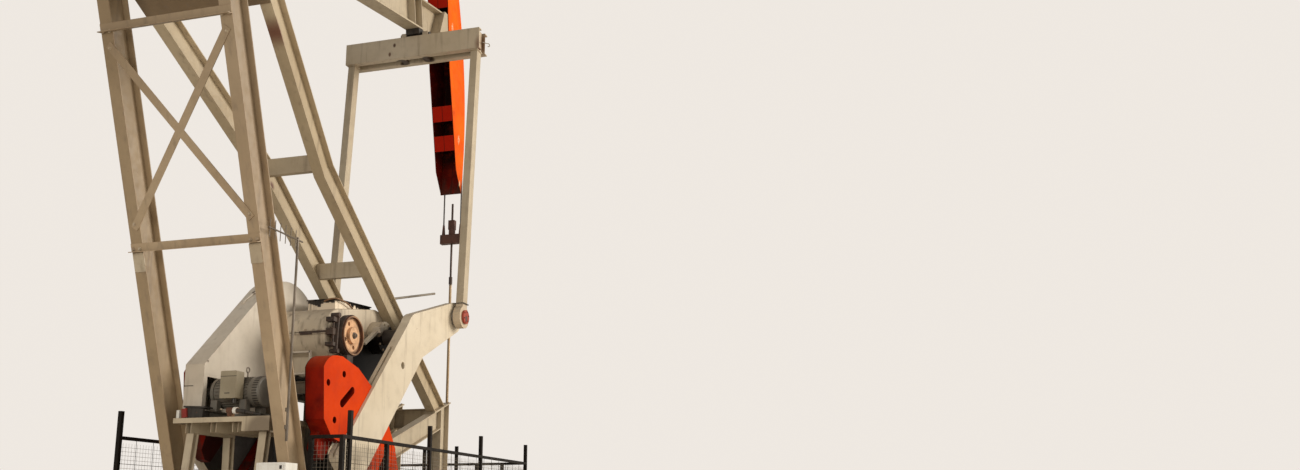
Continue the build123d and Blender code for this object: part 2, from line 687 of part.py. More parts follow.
walking_beam.part.label = "walking_beam"
export_step(walking_beam.part, "parts/walking_beam.step")

# Saddle pin in its hub under the beam
with BuildPart() as saddle_hub:
    with BuildSketch(beam_side.offset(-SADDLE_HUB_Y)):
        Circle(SADDLE_HUB_R)
        with Locations((0, (BEAM_UNDERSIDE - SEAT) / 2)):
            Trapezoid(4 * SADDLE_HUB_R, BEAM_UNDERSIDE - SEAT, 65, rotation=180)
    extrude(amount=2 * SADDLE_HUB_Y)
    with BuildSketch(beam_side.offset(-SADDLE_BLOCK_Y - SADDLE_BLOCK_WIDTH - 25)):
        Circle(SADDLE_PIN_R)
    extrude(amount=2 * (SADDLE_BLOCK_Y + SADDLE_BLOCK_WIDTH + 25))
saddle_hub.part.label = "saddle_hub"
export_step(saddle_hub.part, "parts/saddle_hub.step")

# Horsehead: two side plates and a face rolled about the saddle pin
face_top = polar(PIVOT_X, PIVOT_Z, HEAD_RADIUS, HEAD_TOP_ANGLE)
face_mid = polar(PIVOT_X, PIVOT_Z, HEAD_RADIUS, (HEAD_TOP_ANGLE + HEAD_TIP_ANGLE) / 2)
face_tip = polar(PIVOT_X, PIVOT_Z, HEAD_RADIUS, HEAD_TIP_ANGLE)
skin_top = polar(PIVOT_X, PIVOT_Z, HEAD_RADIUS - HEAD_FACE_T, HEAD_TOP_ANGLE)
skin_mid = polar(PIVOT_X, PIVOT_Z, HEAD_RADIUS - HEAD_FACE_T, (HEAD_TOP_ANGLE + HEAD_TIP_ANGLE) / 2)
skin_tip = polar(PIVOT_X, PIVOT_Z, HEAD_RADIUS - HEAD_FACE_T, HEAD_TIP_ANGLE)
head_back = (
    (HEAD_BACK_TOP_X, HEAD_BACK_TOP_Z),
    (HEAD_BACK_X, HEAD_BACK_Z),
    (HEAD_LOW_X, HEAD_LOW_Z),
)


def back_edge_x(z):
    """X of the sloping rear edges of the head's side plates at height z."""
    if z > HEAD_BACK_Z:
        share = (z - HEAD_BACK_Z) / (HEAD_BACK_TOP_Z - HEAD_BACK_Z)
        return HEAD_BACK_X + share * (HEAD_BACK_TOP_X - HEAD_BACK_X)
    share = (HEAD_BACK_Z - z) / (HEAD_BACK_Z - HEAD_LOW_Z)
    return HEAD_BACK_X + share * (HEAD_LOW_X - HEAD_BACK_X)


with BuildPart() as horsehead:
    for plate_y in (HEAD_HALF_WIDTH, -HEAD_HALF_WIDTH + HEAD_SKIN_T):
        with BuildSketch(Plane.XZ.offset(-plate_y)):
            with BuildLine():
                ThreePointArc(face_tip, face_mid, face_top)
                Polyline(face_top, head_back[0], head_back[1], head_back[2], face_tip)
            make_face()
        extrude(amount=HEAD_SKIN_T)
    with BuildSketch(Plane.XZ.offset(-HEAD_HALF_WIDTH)):
        with BuildLine():
            ThreePointArc(face_tip, face_mid, face_top)
            Line(face_top, skin_top)
            ThreePointArc(skin_top, skin_mid, skin_tip)
            Line(skin_tip, face_tip)
        make_face()
    extrude(amount=2 * HEAD_HALF_WIDTH)
    with BuildSketch(Plane.XZ.offset(-HEAD_HALF_WIDTH)):
        for tie_z in (TIE_LOW_Z, TIE_HIGH_Z, TIE_TOP_Z):
            with BuildLine():
                Polyline(
                    (back_edge_x(tie_z), tie_z),
                    (back_edge_x(tie_z) + HEAD_SKIN_T, tie_z),
                    (back_edge_x(tie_z + TIE_HEIGHT) + HEAD_SKIN_T, tie_z + TIE_HEIGHT),
                    (back_edge_x(tie_z + TIE_HEIGHT), tie_z + TIE_HEIGHT),
                    close=True,
                )
            make_face()
        with BuildLine():
            Polyline(
                head_back[0],
                face_top,
                (face_top[0], face_top[1] - HEAD_SKIN_T),
                (head_back[0][0], head_back[0][1] - HEAD_SKIN_T),
                close=True,
            )
        make_face()
    extrude(amount=2 * HEAD_HALF_WIDTH)
horsehead.part.label = "horsehead"
export_step(horsehead.part, "parts/horsehead.step")

# Socket that carries the head on the cut end of the beam: back plate and two cheeks
SOCKET_HALF = HEAD_HALF_WIDTH - HEAD_SKIN_T - SEAT
with BuildPart() as head_socket:
    with BuildSketch(beam_side.offset(-SOCKET_HALF)):
        with BuildLine():
            Polyline(
                (BEAM_WEB_END + SEAT, BEAM_UNDERSIDE),
                (BEAM_TOP_END + SEAT, BEAM_TOP),
                (BEAM_TOP_END + SOCKET_T, BEAM_TOP),
                (BEAM_WEB_END + SOCKET_T, BEAM_UNDERSIDE),
                close=True,
            )
        make_face()
    extrude(amount=2 * SOCKET_HALF)
    for cheek_y in (SOCKET_HALF, -SOCKET_HALF + SOCKET_T):
        with BuildSketch(beam_side.offset(-cheek_y)):
            with BuildLine():
                Polyline(
                    (BEAM_WEB_END + SEAT, BEAM_UNDERSIDE),
                    (BEAM_TOP_END + SEAT, BEAM_TOP),
                    (BEAM_TOP_END + 420, BEAM_TOP - 60),
                    (BEAM_TOP_END + 420, BEAM_UNDERSIDE + 60),
                    close=True,
                )
            make_face()
        extrude(amount=SOCKET_T)
head_socket.part.label = "head_socket"
export_step(head_socket.part, "parts/head_socket.step")

# Cables laid over the face of the head, down to where they leave it
CABLE_ROLL = HEAD_RADIUS + CABLE_R + SEAT
with BuildPart() as head_cables:
    for cable_y in (CABLE_Y, -CABLE_Y):
        with BuildSketch(Plane.XY.offset(PIVOT_Z)):
            with Locations((PIVOT_X + CABLE_ROLL, cable_y)):
                Circle(CABLE_R)
        revolve(
            axis=Axis((PIVOT_X, 0, PIVOT_Z), (0, -1, 0)),
            revolution_arc=HEAD_TOP_ANGLE,
        )
head_cables.part.label = "head_cables"
export_step(head_cables.part, "parts/head_cables.step")

# Straight falls of the two cables, down to their sockets on the carrier bar
CARRIER_TOP_Z = CARRIER_Z + CARRIER_HEIGHT
FALL_LOW_Z = CARRIER_TOP_Z + SOCKET_HEIGHT + SEAT
with BuildPart() as bridle_cables:
    with BuildSketch(Plane.XY.offset(FALL_LOW_Z)):
        with Locations((CABLE_X, CABLE_Y), (CABLE_X, -CABLE_Y)):
            Circle(CABLE_R)
    extrude(amount=PIVOT_Z - SEAT - FALL_LOW_Z)
bridle_cables.part.label = "bridle_cables"
export_step(bridle_cables.part, "parts/bridle_cables.step")

# Carrier bar with its cable sockets, bored for the rod
with BuildPart() as carrier_bar:
    with BuildSketch(Plane.XZ.offset(-CARRIER_HALF_Y)):
        with Locations((CABLE_X, CARRIER_Z + CARRIER_HEIGHT / 2)):
            Rectangle(2 * CARRIER_HALF_X, CARRIER_HEIGHT)
    extrude(amount=2 * CARRIER_HALF_Y)
    with BuildSketch(Plane.XZ.offset(-CARRIER_HALF_Y)):
        with Locations((CABLE_X, CARRIER_Z + CARRIER_HEIGHT / 2)):
            Rectangle(2 * CARRIER_HALF_X, CARRIER_HEIGHT)
            Rectangle(2 * CARRIER_HALF_X - 16, CARRIER_HEIGHT - 40, mode=Mode.SUBTRACT)
    with Locations((CABLE_X, CABLE_Y, CARRIER_TOP_Z), (CABLE_X, -CABLE_Y, CARRIER_TOP_Z)):
        Cone(SOCKET_R, CABLE_R + 4, SOCKET_HEIGHT, align=(Align.CENTER, Align.CENTER, Align.MIN))
    with Locations((CABLE_X, 0, CARRIER_Z)):
        Cylinder(
            ROD_R + RUNNING_FIT,
            CARRIER_HEIGHT,
            align=(Align.CENTER, Align.CENTER, Align.MIN),
            mode=Mode.SUBTRACT,
        )
carrier_bar.part.label = "carrier_bar"
export_step(carrier_bar.part, "parts/carrier_bar.step")

# Load cell and rod clamp stacked on the carrier bar
with BuildPart() as rod_clamp:
    with Locations((CABLE_X, 0, CARRIER_TOP_Z)):
        Cylinder(CELL_R, CELL_HEIGHT, align=(Align.CENTER, Align.CENTER, Align.MIN))
    with BuildSketch(Plane.XY.offset(CARRIER_TOP_Z + CELL_HEIGHT)):
        with Locations((CABLE_X, 0)):
            RectangleRounded(2 * CLAMP_HALF, 2.6 * CLAMP_HALF, 14)
    extrude(amount=CLAMP_HEIGHT)
    with Locations((CABLE_X, 0, CARRIER_TOP_Z)):
        Cylinder(
            ROD_R + RUNNING_FIT,
            CELL_HEIGHT + CLAMP_HEIGHT,
            align=(Align.CENTER, Align.CENTER, Align.MIN),
            mode=Mode.SUBTRACT,
        )
rod_clamp.part.label = "rod_clamp"
export_step(rod_clamp.part, "parts/rod_clamp.step")

# Polished rod, its coupling and the thicker rod below
with BuildPart() as polished_rod:
    with BuildSketch(Plane.XZ):
        with BuildLine():
            Polyline(
                (CABLE_X, ROD_END_Z),
                (CABLE_X + LOWER_ROD_R, ROD_END_Z),
                (CABLE_X + LOWER_ROD_R, COUPLING_Z),
                (CABLE_X + COUPLING_R, COUPLING_Z),
                (CABLE_X + COUPLING_R, COUPLING_Z + COUPLING_LENGTH),
                (CABLE_X + ROD_R, COUPLING_Z + COUPLING_LENGTH),
                (CABLE_X + ROD_R, ROD_TOP_Z),
                (CABLE_X, ROD_TOP_Z),
                close=True,
            )
        make_face()
    revolve(axis=Axis((CABLE_X, 0, 0), (0, 0, 1)))
polished_rod.part.label = "polished_rod"
export_step(polished_rod.part, "parts/polished_rod.step")

# Equalizer: two channels, spacers over the pitmans and a seat for the bearing blocks
EQ_HEIGHT = EQ_TOP_Z - EQ_BOTTOM_Z
EQ_MID_Z = (EQ_TOP_Z + EQ_BOTTOM_Z) / 2
EQ_GAP_START = EQ_REAR_X + EQ_CHANNEL_FLANGE
with BuildPart() as equalizer:
    with BuildSketch(Plane.XZ.offset(-EQ_HALF_Y)):
        for web_x in (EQ_REAR_X, EQ_FRONT_WEB_X):
            with Locations((web_x, EQ_MID_Z)):
                add(channel(EQ_HEIGHT, EQ_CHANNEL_FLANGE, EQ_WEB_T, EQ_FLANGE_T))
    extrude(amount=2 * EQ_HALF_Y)
    for spacer_y in (PITMAN_Y, -PITMAN_Y, EQ_BLOCK_Y + EQ_BLOCK_WIDTH / 2, -EQ_BLOCK_Y - EQ_BLOCK_WIDTH / 2):
        with BuildSketch(Plane.XZ.offset(-spacer_y - EQ_BLOCK_WIDTH / 2)):
            with Locations(((EQ_REAR_X + EQ_FRONT_WEB_X + EQ_WEB_T) / 2, EQ_MID_Z)):
                Rectangle(EQ_FRONT_WEB_X - EQ_REAR_X, EQ_HEIGHT)
        extrude(amount=EQ_BLOCK_WIDTH)
    for block_y in (EQ_BLOCK_Y, -EQ_BLOCK_Y - EQ_BLOCK_WIDTH):
        with BuildSketch(Plane.XZ.offset(-block_y - EQ_BLOCK_WIDTH)):
            with Locations((EQ_PIVOT_X, EQ_PIVOT_Z)):
                Circle(EQ_HUB_R)
            with Locations((EQ_PIVOT_X, (EQ_PIVOT_Z + EQ_TOP_Z) / 2)):
                Rectangle(2 * EQ_HUB_R, EQ_PIVOT_Z - EQ_TOP_Z)
            with Locations((EQ_PIVOT_X, EQ_PIVOT_Z)):
                Circle(EQ_PIN_R + RUNNING_FIT, mode=Mode.SUBTRACT)
        extrude(amount=EQ_BLOCK_WIDTH)
equalizer.part.label = "equalizer"
export_step(equalizer.part, "parts/equalizer.step")

# Equalizer pin in its hub under the beam
eq_seat = (Vector(EQ_PIVOT_X, 0, EQ_PIVOT_Z) - beam_side.origin).dot(beam_side.y_dir)
eq_along = (Vector(EQ_PIVOT_X, 0, EQ_PIVOT_Z) - beam_side.origin).dot(beam_side.x_dir)
EQ_HUB_RISE = BEAM_UNDERSIDE - SEAT - eq_seat
with BuildPart() as equalizer_hub:
    with BuildSketch(beam_side.offset(-EQ_HUB_Y)):
        with Locations((eq_along, eq_seat)):
            Circle(EQ_HUB_R)
        with Locations((eq_along - EQ_HUB_R / 2, eq_seat + EQ_HUB_RISE / 2)):
            Rectangle(3 * EQ_HUB_R, EQ_HUB_RISE)
    extrude(amount=2 * EQ_HUB_Y)
    with BuildSketch(beam_side.offset(-EQ_BLOCK_Y - EQ_BLOCK_WIDTH - 20)):
        with Locations((eq_along, eq_seat)):
            Circle(EQ_PIN_R)
    extrude(amount=2 * (EQ_BLOCK_Y + EQ_BLOCK_WIDTH + 20))
equalizer_hub.part.label = "equalizer_hub"
export_step(equalizer_hub.part, "parts/equalizer_hub.step")

# Pitmans: rectangular tubes from the crank pin bearings up to the equalizer
pitman_foot = (PIN_X, PITMAN_Y, PIN_Z)
pitman_head = (EQ_PIVOT_X - 15, PITMAN_Y, EQ_PIVOT_Z)
pitman_plane = member_plane(pitman_foot, pitman_head)
with BuildPart() as pitman_left:
    with BuildSketch(pitman_plane.offset(BEARING_NECK + SEAT)):
        Rectangle(PITMAN_WIDTH, PITMAN_DEPTH)
        Rectangle(PITMAN_WIDTH - 2 * PITMAN_WALL, PITMAN_DEPTH - 2 * PITMAN_WALL, mode=Mode.SUBTRACT)
    extrude(amount=distance(pitman_foot, pitman_head))
    split(bisect_by=Plane.XY.offset(EQ_BOTTOM_Z - SEAT - PITMAN_TOP_T / 2), keep=Keep.BOTTOM)
    with BuildSketch(Plane.XY.offset(EQ_BOTTOM_Z - SEAT - PITMAN_TOP_T)):
        with Locations((EQ_PIVOT_X - 48, PITMAN_Y)):
            Rectangle(PITMAN_DEPTH + 40, PITMAN_WIDTH + 30)
    extrude(amount=PITMAN_TOP_T)
pitman_left.part.label = "pitman_left"
export_step(pitman_left.part, "parts/pitman_left.step")

with BuildPart() as pitman_right:
    add(mirror(pitman_left.part, about=Plane.XZ, mode=Mode.PRIVATE))
pitman_right.part.label = "pitman_right"
export_step(pitman_right.part, "parts/pitman_right.step")

# Closed bearing housings at the feet of the pitmans, with round caps
HOUSING_NEAR_Y = CRANK_OUTER_Y + PIN_BOSS_T + TURN_GAP
HOUSING_T = PITMAN_Y + PITMAN_WIDTH / 2 - HOUSING_NEAR_Y
pitman_side = Plane(
    origin=(PIN_X, 0, PIN_Z), x_dir=pitman_plane.y_dir * -1, z_dir=(0, -1, 0)
)
with BuildPart() as pin_bearings:
    with BuildSketch(pitman_side.offset(-HOUSING_NEAR_Y - HOUSING_T)):
        Circle(BEARING_R)
        with Locations((0, BEARING_NECK / 2)):
            Rectangle(PITMAN_DEPTH, BEARING_NECK)
    extrude(amount=HOUSING_T)
    with BuildSketch(pitman_side.offset(-HOUSING_NEAR_Y - HOUSING_T - BEARING_CAP_T)):
        Circle(BEARING_CAP_R)
    extrude(amount=BEARING_CAP_T)
    mirror(about=Plane.XZ)
pin_bearings.part.label = "pin_bearings"
export_step(pin_bearings.part, "parts/pin_bearings.step")

# Crankshaft
with BuildPart() as crankshaft:
    with BuildSketch(Plane.XZ.offset(-CRANK_OUTER_Y)):
        with Locations((0, SHAFT_Z)):
            Circle(SHAFT_R)
    extrude(amount=2 * CRANK_OUTER_Y)
crankshaft.part.label = "crankshaft"
export_step(crankshaft.part, "parts/crankshaft.step")

# Crank: a short arm to the pin and a long tail, bent at the shaft
arm_plane = Plane(
    origin=(0, 0, SHAFT_Z),
    x_dir=(cos(radians(PIN_ANGLE)), 0, sin(radians(PIN_ANGLE))),
    z_dir=(0, -1, 0),
)
tail_plane = Plane(
    origin=(0, 0, SHAFT_Z),
    x_dir=(cos(radians(TAIL_ANGLE)), 0, sin(radians(TAIL_ANGLE))),
    z_dir=(0, -1, 0),
)
CRANK_T = CRANK_OUTER_Y - CRANK_INNER_Y
with BuildPart() as crank_left:
    with BuildSketch(arm_plane.offset(-CRANK_OUTER_Y)):
        with BuildLine():
            Polyline((0, HUB_R), (CRANK_THROW, TIP_R), (CRANK_THROW, -TIP_R), (0, -HUB_R), close=True)
        make_face()
        Circle(HUB_R)
        with Locations((CRANK_THROW, 0)):
            Circle(TIP_R)
    extrude(amount=CRANK_T)
    with BuildSketch(tail_plane.offset(-CRANK_OUTER_Y)):
        with Locations((TAIL_LENGTH / 2, 0)):
            Rectangle(TAIL_LENGTH, 2 * TAIL_HALF)
    extrude(amount=CRANK_T)
    tail_corners = crank_left.edges().filter_by(Axis.Y).sort_by(Axis.Z)[:2]
    fillet(tail_corners, TAIL_CORNER_R)
    with BuildSketch(tail_plane.offset(-CRANK_OUTER_Y + (CRANK_T - SLOT_WIDTH) / 2)):
        for side in (1, -1):
            with Locations(((SLOT_START + TAIL_LENGTH) / 2, side * (TAIL_HALF - SLOT_DEPTH / 2))):
                Rectangle(TAIL_LENGTH - SLOT_START, SLOT_DEPTH)
    extrude(amount=SLOT_WIDTH, mode=Mode.SUBTRACT)
    with BuildSketch(tail_plane.offset(-CRANK_OUTER_Y)):
        Circle(SHAFT_R + RUNNING_FIT)
        with Locations((CRANK_HOLE_AT, 0)):
            Circle(CRANK_HOLE_R)
    extrude(amount=CRANK_T, mode=Mode.SUBTRACT)
    with BuildSketch(arm_plane.offset(-CRANK_OUTER_Y)):
        with Locations((CRANK_THROW, 0)):
            Circle(PIN_R + RUNNING_FIT)
    extrude(amount=CRANK_T, mode=Mode.SUBTRACT)
crank_left.part.label = "crank_left"
export_step(crank_left.part, "parts/crank_left.step")

with BuildPart() as crank_right:
    add(mirror(crank_left.part, about=Plane.XZ, mode=Mode.PRIVATE))
crank_right.part.label = "crank_right"
export_step(crank_right.part, "parts/crank_right.step")

# Crank pins: shank through the arm, boss outside, nut inside
with BuildPart() as crank_pins:
    with BuildSketch(arm_plane.offset(-CRANK_OUTER_Y - PIN_BOSS_T)):
        with Locations((CRANK_THROW, 0)):
            Circle(PIN_R)
    extrude(amount=CRANK_T + PIN_BOSS_T + PIN_NUT_T)
    with BuildSketch(arm_plane.offset(-CRANK_OUTER_Y - PIN_BOSS_T)):
        with Locations((CRANK_THROW, 0)):
            Circle(PIN_BOSS_R)
    extrude(amount=PIN_BOSS_T - SEAT)
    with BuildSketch(arm_plane.offset(-CRANK_INNER_Y + SEAT)):
        with Locations((CRANK_THROW, 0)):
            RegularPolygon(PIN_NUT_R, 6)
    extrude(amount=PIN_NUT_T - SEAT)
    mirror(about=Plane.XZ)
crank_pins.part.label = "crank_pins"
export_step(crank_pins.part, "parts/crank_pins.step")

# Counterweights: a pair on the edges of each tail, with bolt holes and a lifting slot
WEIGHT_BASE = TAIL_HALF + SEAT
WEIGHT_T = WEIGHT_OUTER_Y - WEIGHT_INNER_Y
with BuildPart() as weights_left:
    with BuildSketch(tail_plane.offset(-WEIGHT_OUTER_Y)):
        with BuildLine():
            Line((WEIGHT_START, WEIGHT_BASE), (WEIGHT_START + 96, 719))
            Line((WEIGHT_START + 96, 719), (WEIGHT_SHOULDER, WEIGHT_RISE))
            Spline(
                (WEIGHT_SHOULDER, WEIGHT_RISE),
                (WEIGHT_SHOULDER + 200, WEIGHT_CREST - 25),
                (WEIGHT_SHOULDER + 424, WEIGHT_CREST),
                tangents=((0.7, 0.7), (1, -0.25)),
            )
            Line((WEIGHT_SHOULDER + 424, WEIGHT_CREST), (WEIGHT_END - 24, 818))
            Line((WEIGHT_END - 24, 818), (WEIGHT_END, 530))
            Line((WEIGHT_END, 530), (WEIGHT_END - 120, WEIGHT_BASE))
            Line((WEIGHT_END - 120, WEIGHT_BASE), (WEIGHT_START, WEIGHT_BASE))
        make_face()
        with Locations((WEIGHT_HOLE_REAR, 900), (WEIGHT_HOLE_MID, 1070), (WEIGHT_HOLE_END, 640)):
            Circle(WEIGHT_BOLT_R, mode=Mode.SUBTRACT)
        with Locations((2020, 640)):
            SlotOverall(WEIGHT_SLOT_LENGTH, 2 * WEIGHT_SLOT_R, rotation=10, mode=Mode.SUBTRACT)
    extrude(amount=WEIGHT_T)
    with BuildSketch(tail_plane.offset(-WEIGHT_INNER_Y - LUG_T)):
        with BuildLine():
            Polyline(
                (WEIGHT_END - 200, WEIGHT_BASE),
                (WEIGHT_END + 180, WEIGHT_BASE),
                (WEIGHT_END + LUG_LENGTH, WEIGHT_BASE + 90),
                (WEIGHT_END + 190, WEIGHT_BASE + 225),
                (WEIGHT_END - 80, WEIGHT_BASE + 330),
                close=True,
            )
        make_face()
    extrude(amount=LUG_T)
    mirror(about=Plane(origin=(0, 0, SHAFT_Z), x_dir=(0, 1, 0), z_dir=tail_plane.y_dir))
weights_left.part.label = "weights_left"
export_step(weights_left.part, "parts/weights_left.step")

with BuildPart() as weights_right:
    add(mirror(weights_left.part, about=Plane.XZ, mode=Mode.PRIVATE))
weights_right.part.label = "weights_right"
export_step(weights_right.part, "parts/weights_right.step")

# Gear reducer case: wide round rear over the input shaft, narrower front over the crankshaft
with BuildSketch() as case_outline:
    with Locations((INPUT_X, INPUT_Z)):
        Circle(CASE_REAR_R)
    with Locations((0, SHAFT_Z)):
        Circle(CASE_FRONT_R)
    make_hull()
    with Locations(((CASE_FOOT_REAR_X + CASE_FOOT_FRONT_X) / 2, (CASE_BOTTOM_Z + SHAFT_Z) / 2)):
        Rectangle(CASE_FOOT_FRONT_X - CASE_FOOT_REAR_X - 60, SHAFT_Z - CASE_BOTTOM_Z)
with BuildPart() as gearbox_case:
    with BuildSketch(Plane.XZ.offset(-CASE_HALF_Y)):
        add(case_outline.sketch)
    extrude(amount=2 * CASE_HALF_Y)
    split(bisect_by=Plane.YZ.offset(CASE_STEP_X), keep=Keep.BOTTOM)
    rim = gearbox_case.faces().filter_by(Axis.Y).edges()
    rim = rim.filter_by(lambda edge: edge.bounding_box().max.Z > INPUT_Z + 5 - CASE_REAR_R / 2)
    rim = rim.filter_by(lambda edge: edge.length > CASE_REAR_R)
    fillet(rim.filter_by(lambda edge: edge.center().X < CASE_STEP_X - 1), 30)
    with BuildSketch(Plane.XZ.offset(-CASE_FRONT_HALF_Y)):
        add(case_outline.sketch)
    extrude(amount=2 * CASE_FRONT_HALF_Y)
    with BuildSketch(Plane.XY.offset(CASE_BOTTOM_Z)):
        with Locations(((CASE_FOOT_REAR_X + CASE_FOOT_FRONT_X) / 2, 0)):
            Rectangle(CASE_FOOT_FRONT_X - CASE_FOOT_REAR_X, 2 * CASE_FOOT_HALF_Y)
    extrude(amount=CASE_FOOT_T)
    with BuildSketch(Plane.XY.offset(INPUT_Z - SPLIT_T / 2)):
        with Locations(((INPUT_X - CASE_REAR_R - SPLIT_LIP + CASE_STEP_X) / 2, 0)):
            Rectangle(
                CASE_STEP_X - INPUT_X + CASE_REAR_R + SPLIT_LIP, 2 * (CASE_HALF_Y + SPLIT_LIP)
            )
    extrude(amount=SPLIT_T)
    with BuildSketch(Plane.XZ.offset(-CASE_FRONT_HALF_Y - SPLIT_LIP)):
        with BuildLine():
            Polyline(
                (CASE_STEP_X, INPUT_Z + SPLIT_T / 2),
                (-BOSS_R, SHAFT_Z + SPLIT_T / 2),
                (CASE_FRONT_R + SPLIT_LIP, SHAFT_Z + SPLIT_T / 2),
                (CASE_FRONT_R + SPLIT_LIP, SHAFT_Z - SPLIT_T / 2),
                (-BOSS_R, SHAFT_Z - SPLIT_T / 2),
                (CASE_STEP_X, INPUT_Z - SPLIT_T / 2),
                close=True,
            )
        make_face()
    extrude(amount=2 * (CASE_FRONT_HALF_Y + SPLIT_LIP))
    for side in (1, -1):
        with BuildSketch(Plane.XZ.offset(side * CASE_FRONT_HALF_Y)):
            with Locations((0, SHAFT_Z)):
                Circle(BOSS_R)
        extrude(amount=side * BOSS_T)
        with BuildSketch(Plane.XZ.offset(side * CASE_HALF_Y)):
            with Locations((INPUT_X, INPUT_Z)):
                Circle(INPUT_BOSS_R)
        extrude(amount=side * INPUT_BOSS_T)
    with BuildSketch(Plane.XZ.offset(-2 * CASE_HALF_Y)):
        with Locations((0, SHAFT_Z)):
            Circle(SHAFT_R + RUNNING_FIT)
        with Locations((INPUT_X, INPUT_Z)):
            Circle(INPUT_SHAFT_R + RUNNING_FIT)
    extrude(amount=4 * CASE_HALF_Y, mode=Mode.SUBTRACT)
gearbox_case.part.label = "gearbox_case"
export_step(gearbox_case.part, "parts/gearbox_case.step")

# Raised cover on top of the case, with a lid that overhangs it
with BuildPart() as gearbox_cover:
    with BuildSketch(Plane.XZ.offset(-COVER_HALF_Y)):
        with BuildLine():
            Polyline(
                (COVER_REAR_X, INPUT_Z + CASE_REAR_R - 60),
                (COVER_REAR_X, COVER_REAR_Z),
                (COVER_FRONT_X, COVER_FRONT_Z),
                (COVER_NOSE_X, COVER_NOSE_Z),
                (COVER_NOSE_X, SHAFT_Z + CASE_FRONT_R / 3),
                close=True,
            )
        make_face()
        offset(case_outline.sketch, amount=SEAT, mode=Mode.SUBTRACT)
    extrude(amount=2 * COVER_HALF_Y)
gearbox_cover.part.label = "gearbox_cover"
export_step(gearbox_cover.part, "parts/gearbox_cover.step")

lid_angle = degrees(atan2(COVER_FRONT_Z - COVER_REAR_Z, COVER_FRONT_X - COVER_REAR_X))
lid_run = hypot(COVER_FRONT_X - COVER_REAR_X, COVER_FRONT_Z - COVER_REAR_Z)
lid_plane = Plane(
    origin=((COVER_REAR_X + COVER_FRONT_X) / 2, 0, (COVER_REAR_Z + COVER_FRONT_Z) / 2),
    x_dir=(cos(radians(lid_angle)), 0, sin(radians(lid_angle))),
    z_dir=(-sin(radians(lid_angle)), 0, cos(radians(lid_angle))),
)
with BuildPart() as gearbox_lid:
    with BuildSketch(lid_plane.offset(SEAT)):
        Rectangle(lid_run + 2 * LID_LIP, 2 * (COVER_HALF_Y + LID_LIP))
    extrude(amount=LID_T)
gearbox_lid.part.label = "gearbox_lid"
export_step(gearbox_lid.part, "parts/gearbox_lid.step")

# Input shaft through the case, with the brake drum on its right-hand end
with BuildPart() as input_shaft:
    with BuildSketch(Plane.XZ.offset(-(BELT_NEAR_Y + 120))):
        with Locations((INPUT_X, INPUT_Z)):
            Circle(INPUT_SHAFT_R)
    extrude(amount=BELT_NEAR_Y + 120 + DRUM_OUTER_Y + 10)
input_shaft.part.label = "input_shaft"
export_step(input_shaft.part, "parts/input_shaft.step")

DRUM_WIDTH = DRUM_OUTER_Y - DRUM_INNER_Y
with BuildPart() as brake_drum:
    with BuildSketch(Plane.XZ.offset(DRUM_INNER_Y)):
        with Locations((INPUT_X, INPUT_Z)):
            Circle(DRUM_R)
            Circle(INPUT_SHAFT_R + RUNNING_FIT, mode=Mode.SUBTRACT)
    extrude(amount=DRUM_WIDTH)
    with BuildSketch(Plane.XZ.offset(DRUM_OUTER_Y)):
        with Locations((INPUT_X, INPUT_Z)):
            Circle(DRUM_R - DRUM_RIM_T)
            Circle(DRUM_R * 0.42, mode=Mode.SUBTRACT)
    extrude(amount=DRUM_WEB_T - DRUM_WIDTH / 2, mode=Mode.SUBTRACT)
    with BuildSketch(Plane.XZ.offset(DRUM_OUTER_Y)):
        with Locations((INPUT_X, INPUT_Z)):
            with PolarLocations(DRUM_R * 0.62, 4, start_angle=25):
                Circle(28)
    extrude(amount=-DRUM_WIDTH, mode=Mode.SUBTRACT)
brake_drum.part.label = "brake_drum"
export_step(brake_drum.part, "parts/brake_drum.step")

# Brake band around most of the drum, anchored on a bracket under the case
BAND_R = DRUM_R + BAND_GAP
BAND_MID_Y = (DRUM_INNER_Y + DRUM_OUTER_Y) / 2
with BuildPart() as brake_band:
    with BuildSketch(Plane.XZ.offset(BAND_MID_Y - BAND_WIDTH / 2)):
        with Locations((INPUT_X, INPUT_Z)):
            Circle(BAND_R + BAND_T)
            Circle(BAND_R, mode=Mode.SUBTRACT)
            with Locations((DRUM_R, 0)):
                Rectangle(DRUM_R, 90, mode=Mode.SUBTRACT)
    extrude(amount=BAND_WIDTH)
    with BuildSketch(Plane.XZ.offset(CASE_HALF_Y + SEAT)):
        with Locations((INPUT_X - 40, INPUT_Z - BAND_R - BAND_T - 55)):
            Rectangle(150, 120)
    extrude(amount=BAND_MID_Y + BAND_WIDTH / 2 - CASE_HALF_Y)
brake_band.part.label = "brake_band"
export_step(brake_band.part, "parts/brake_band.step")

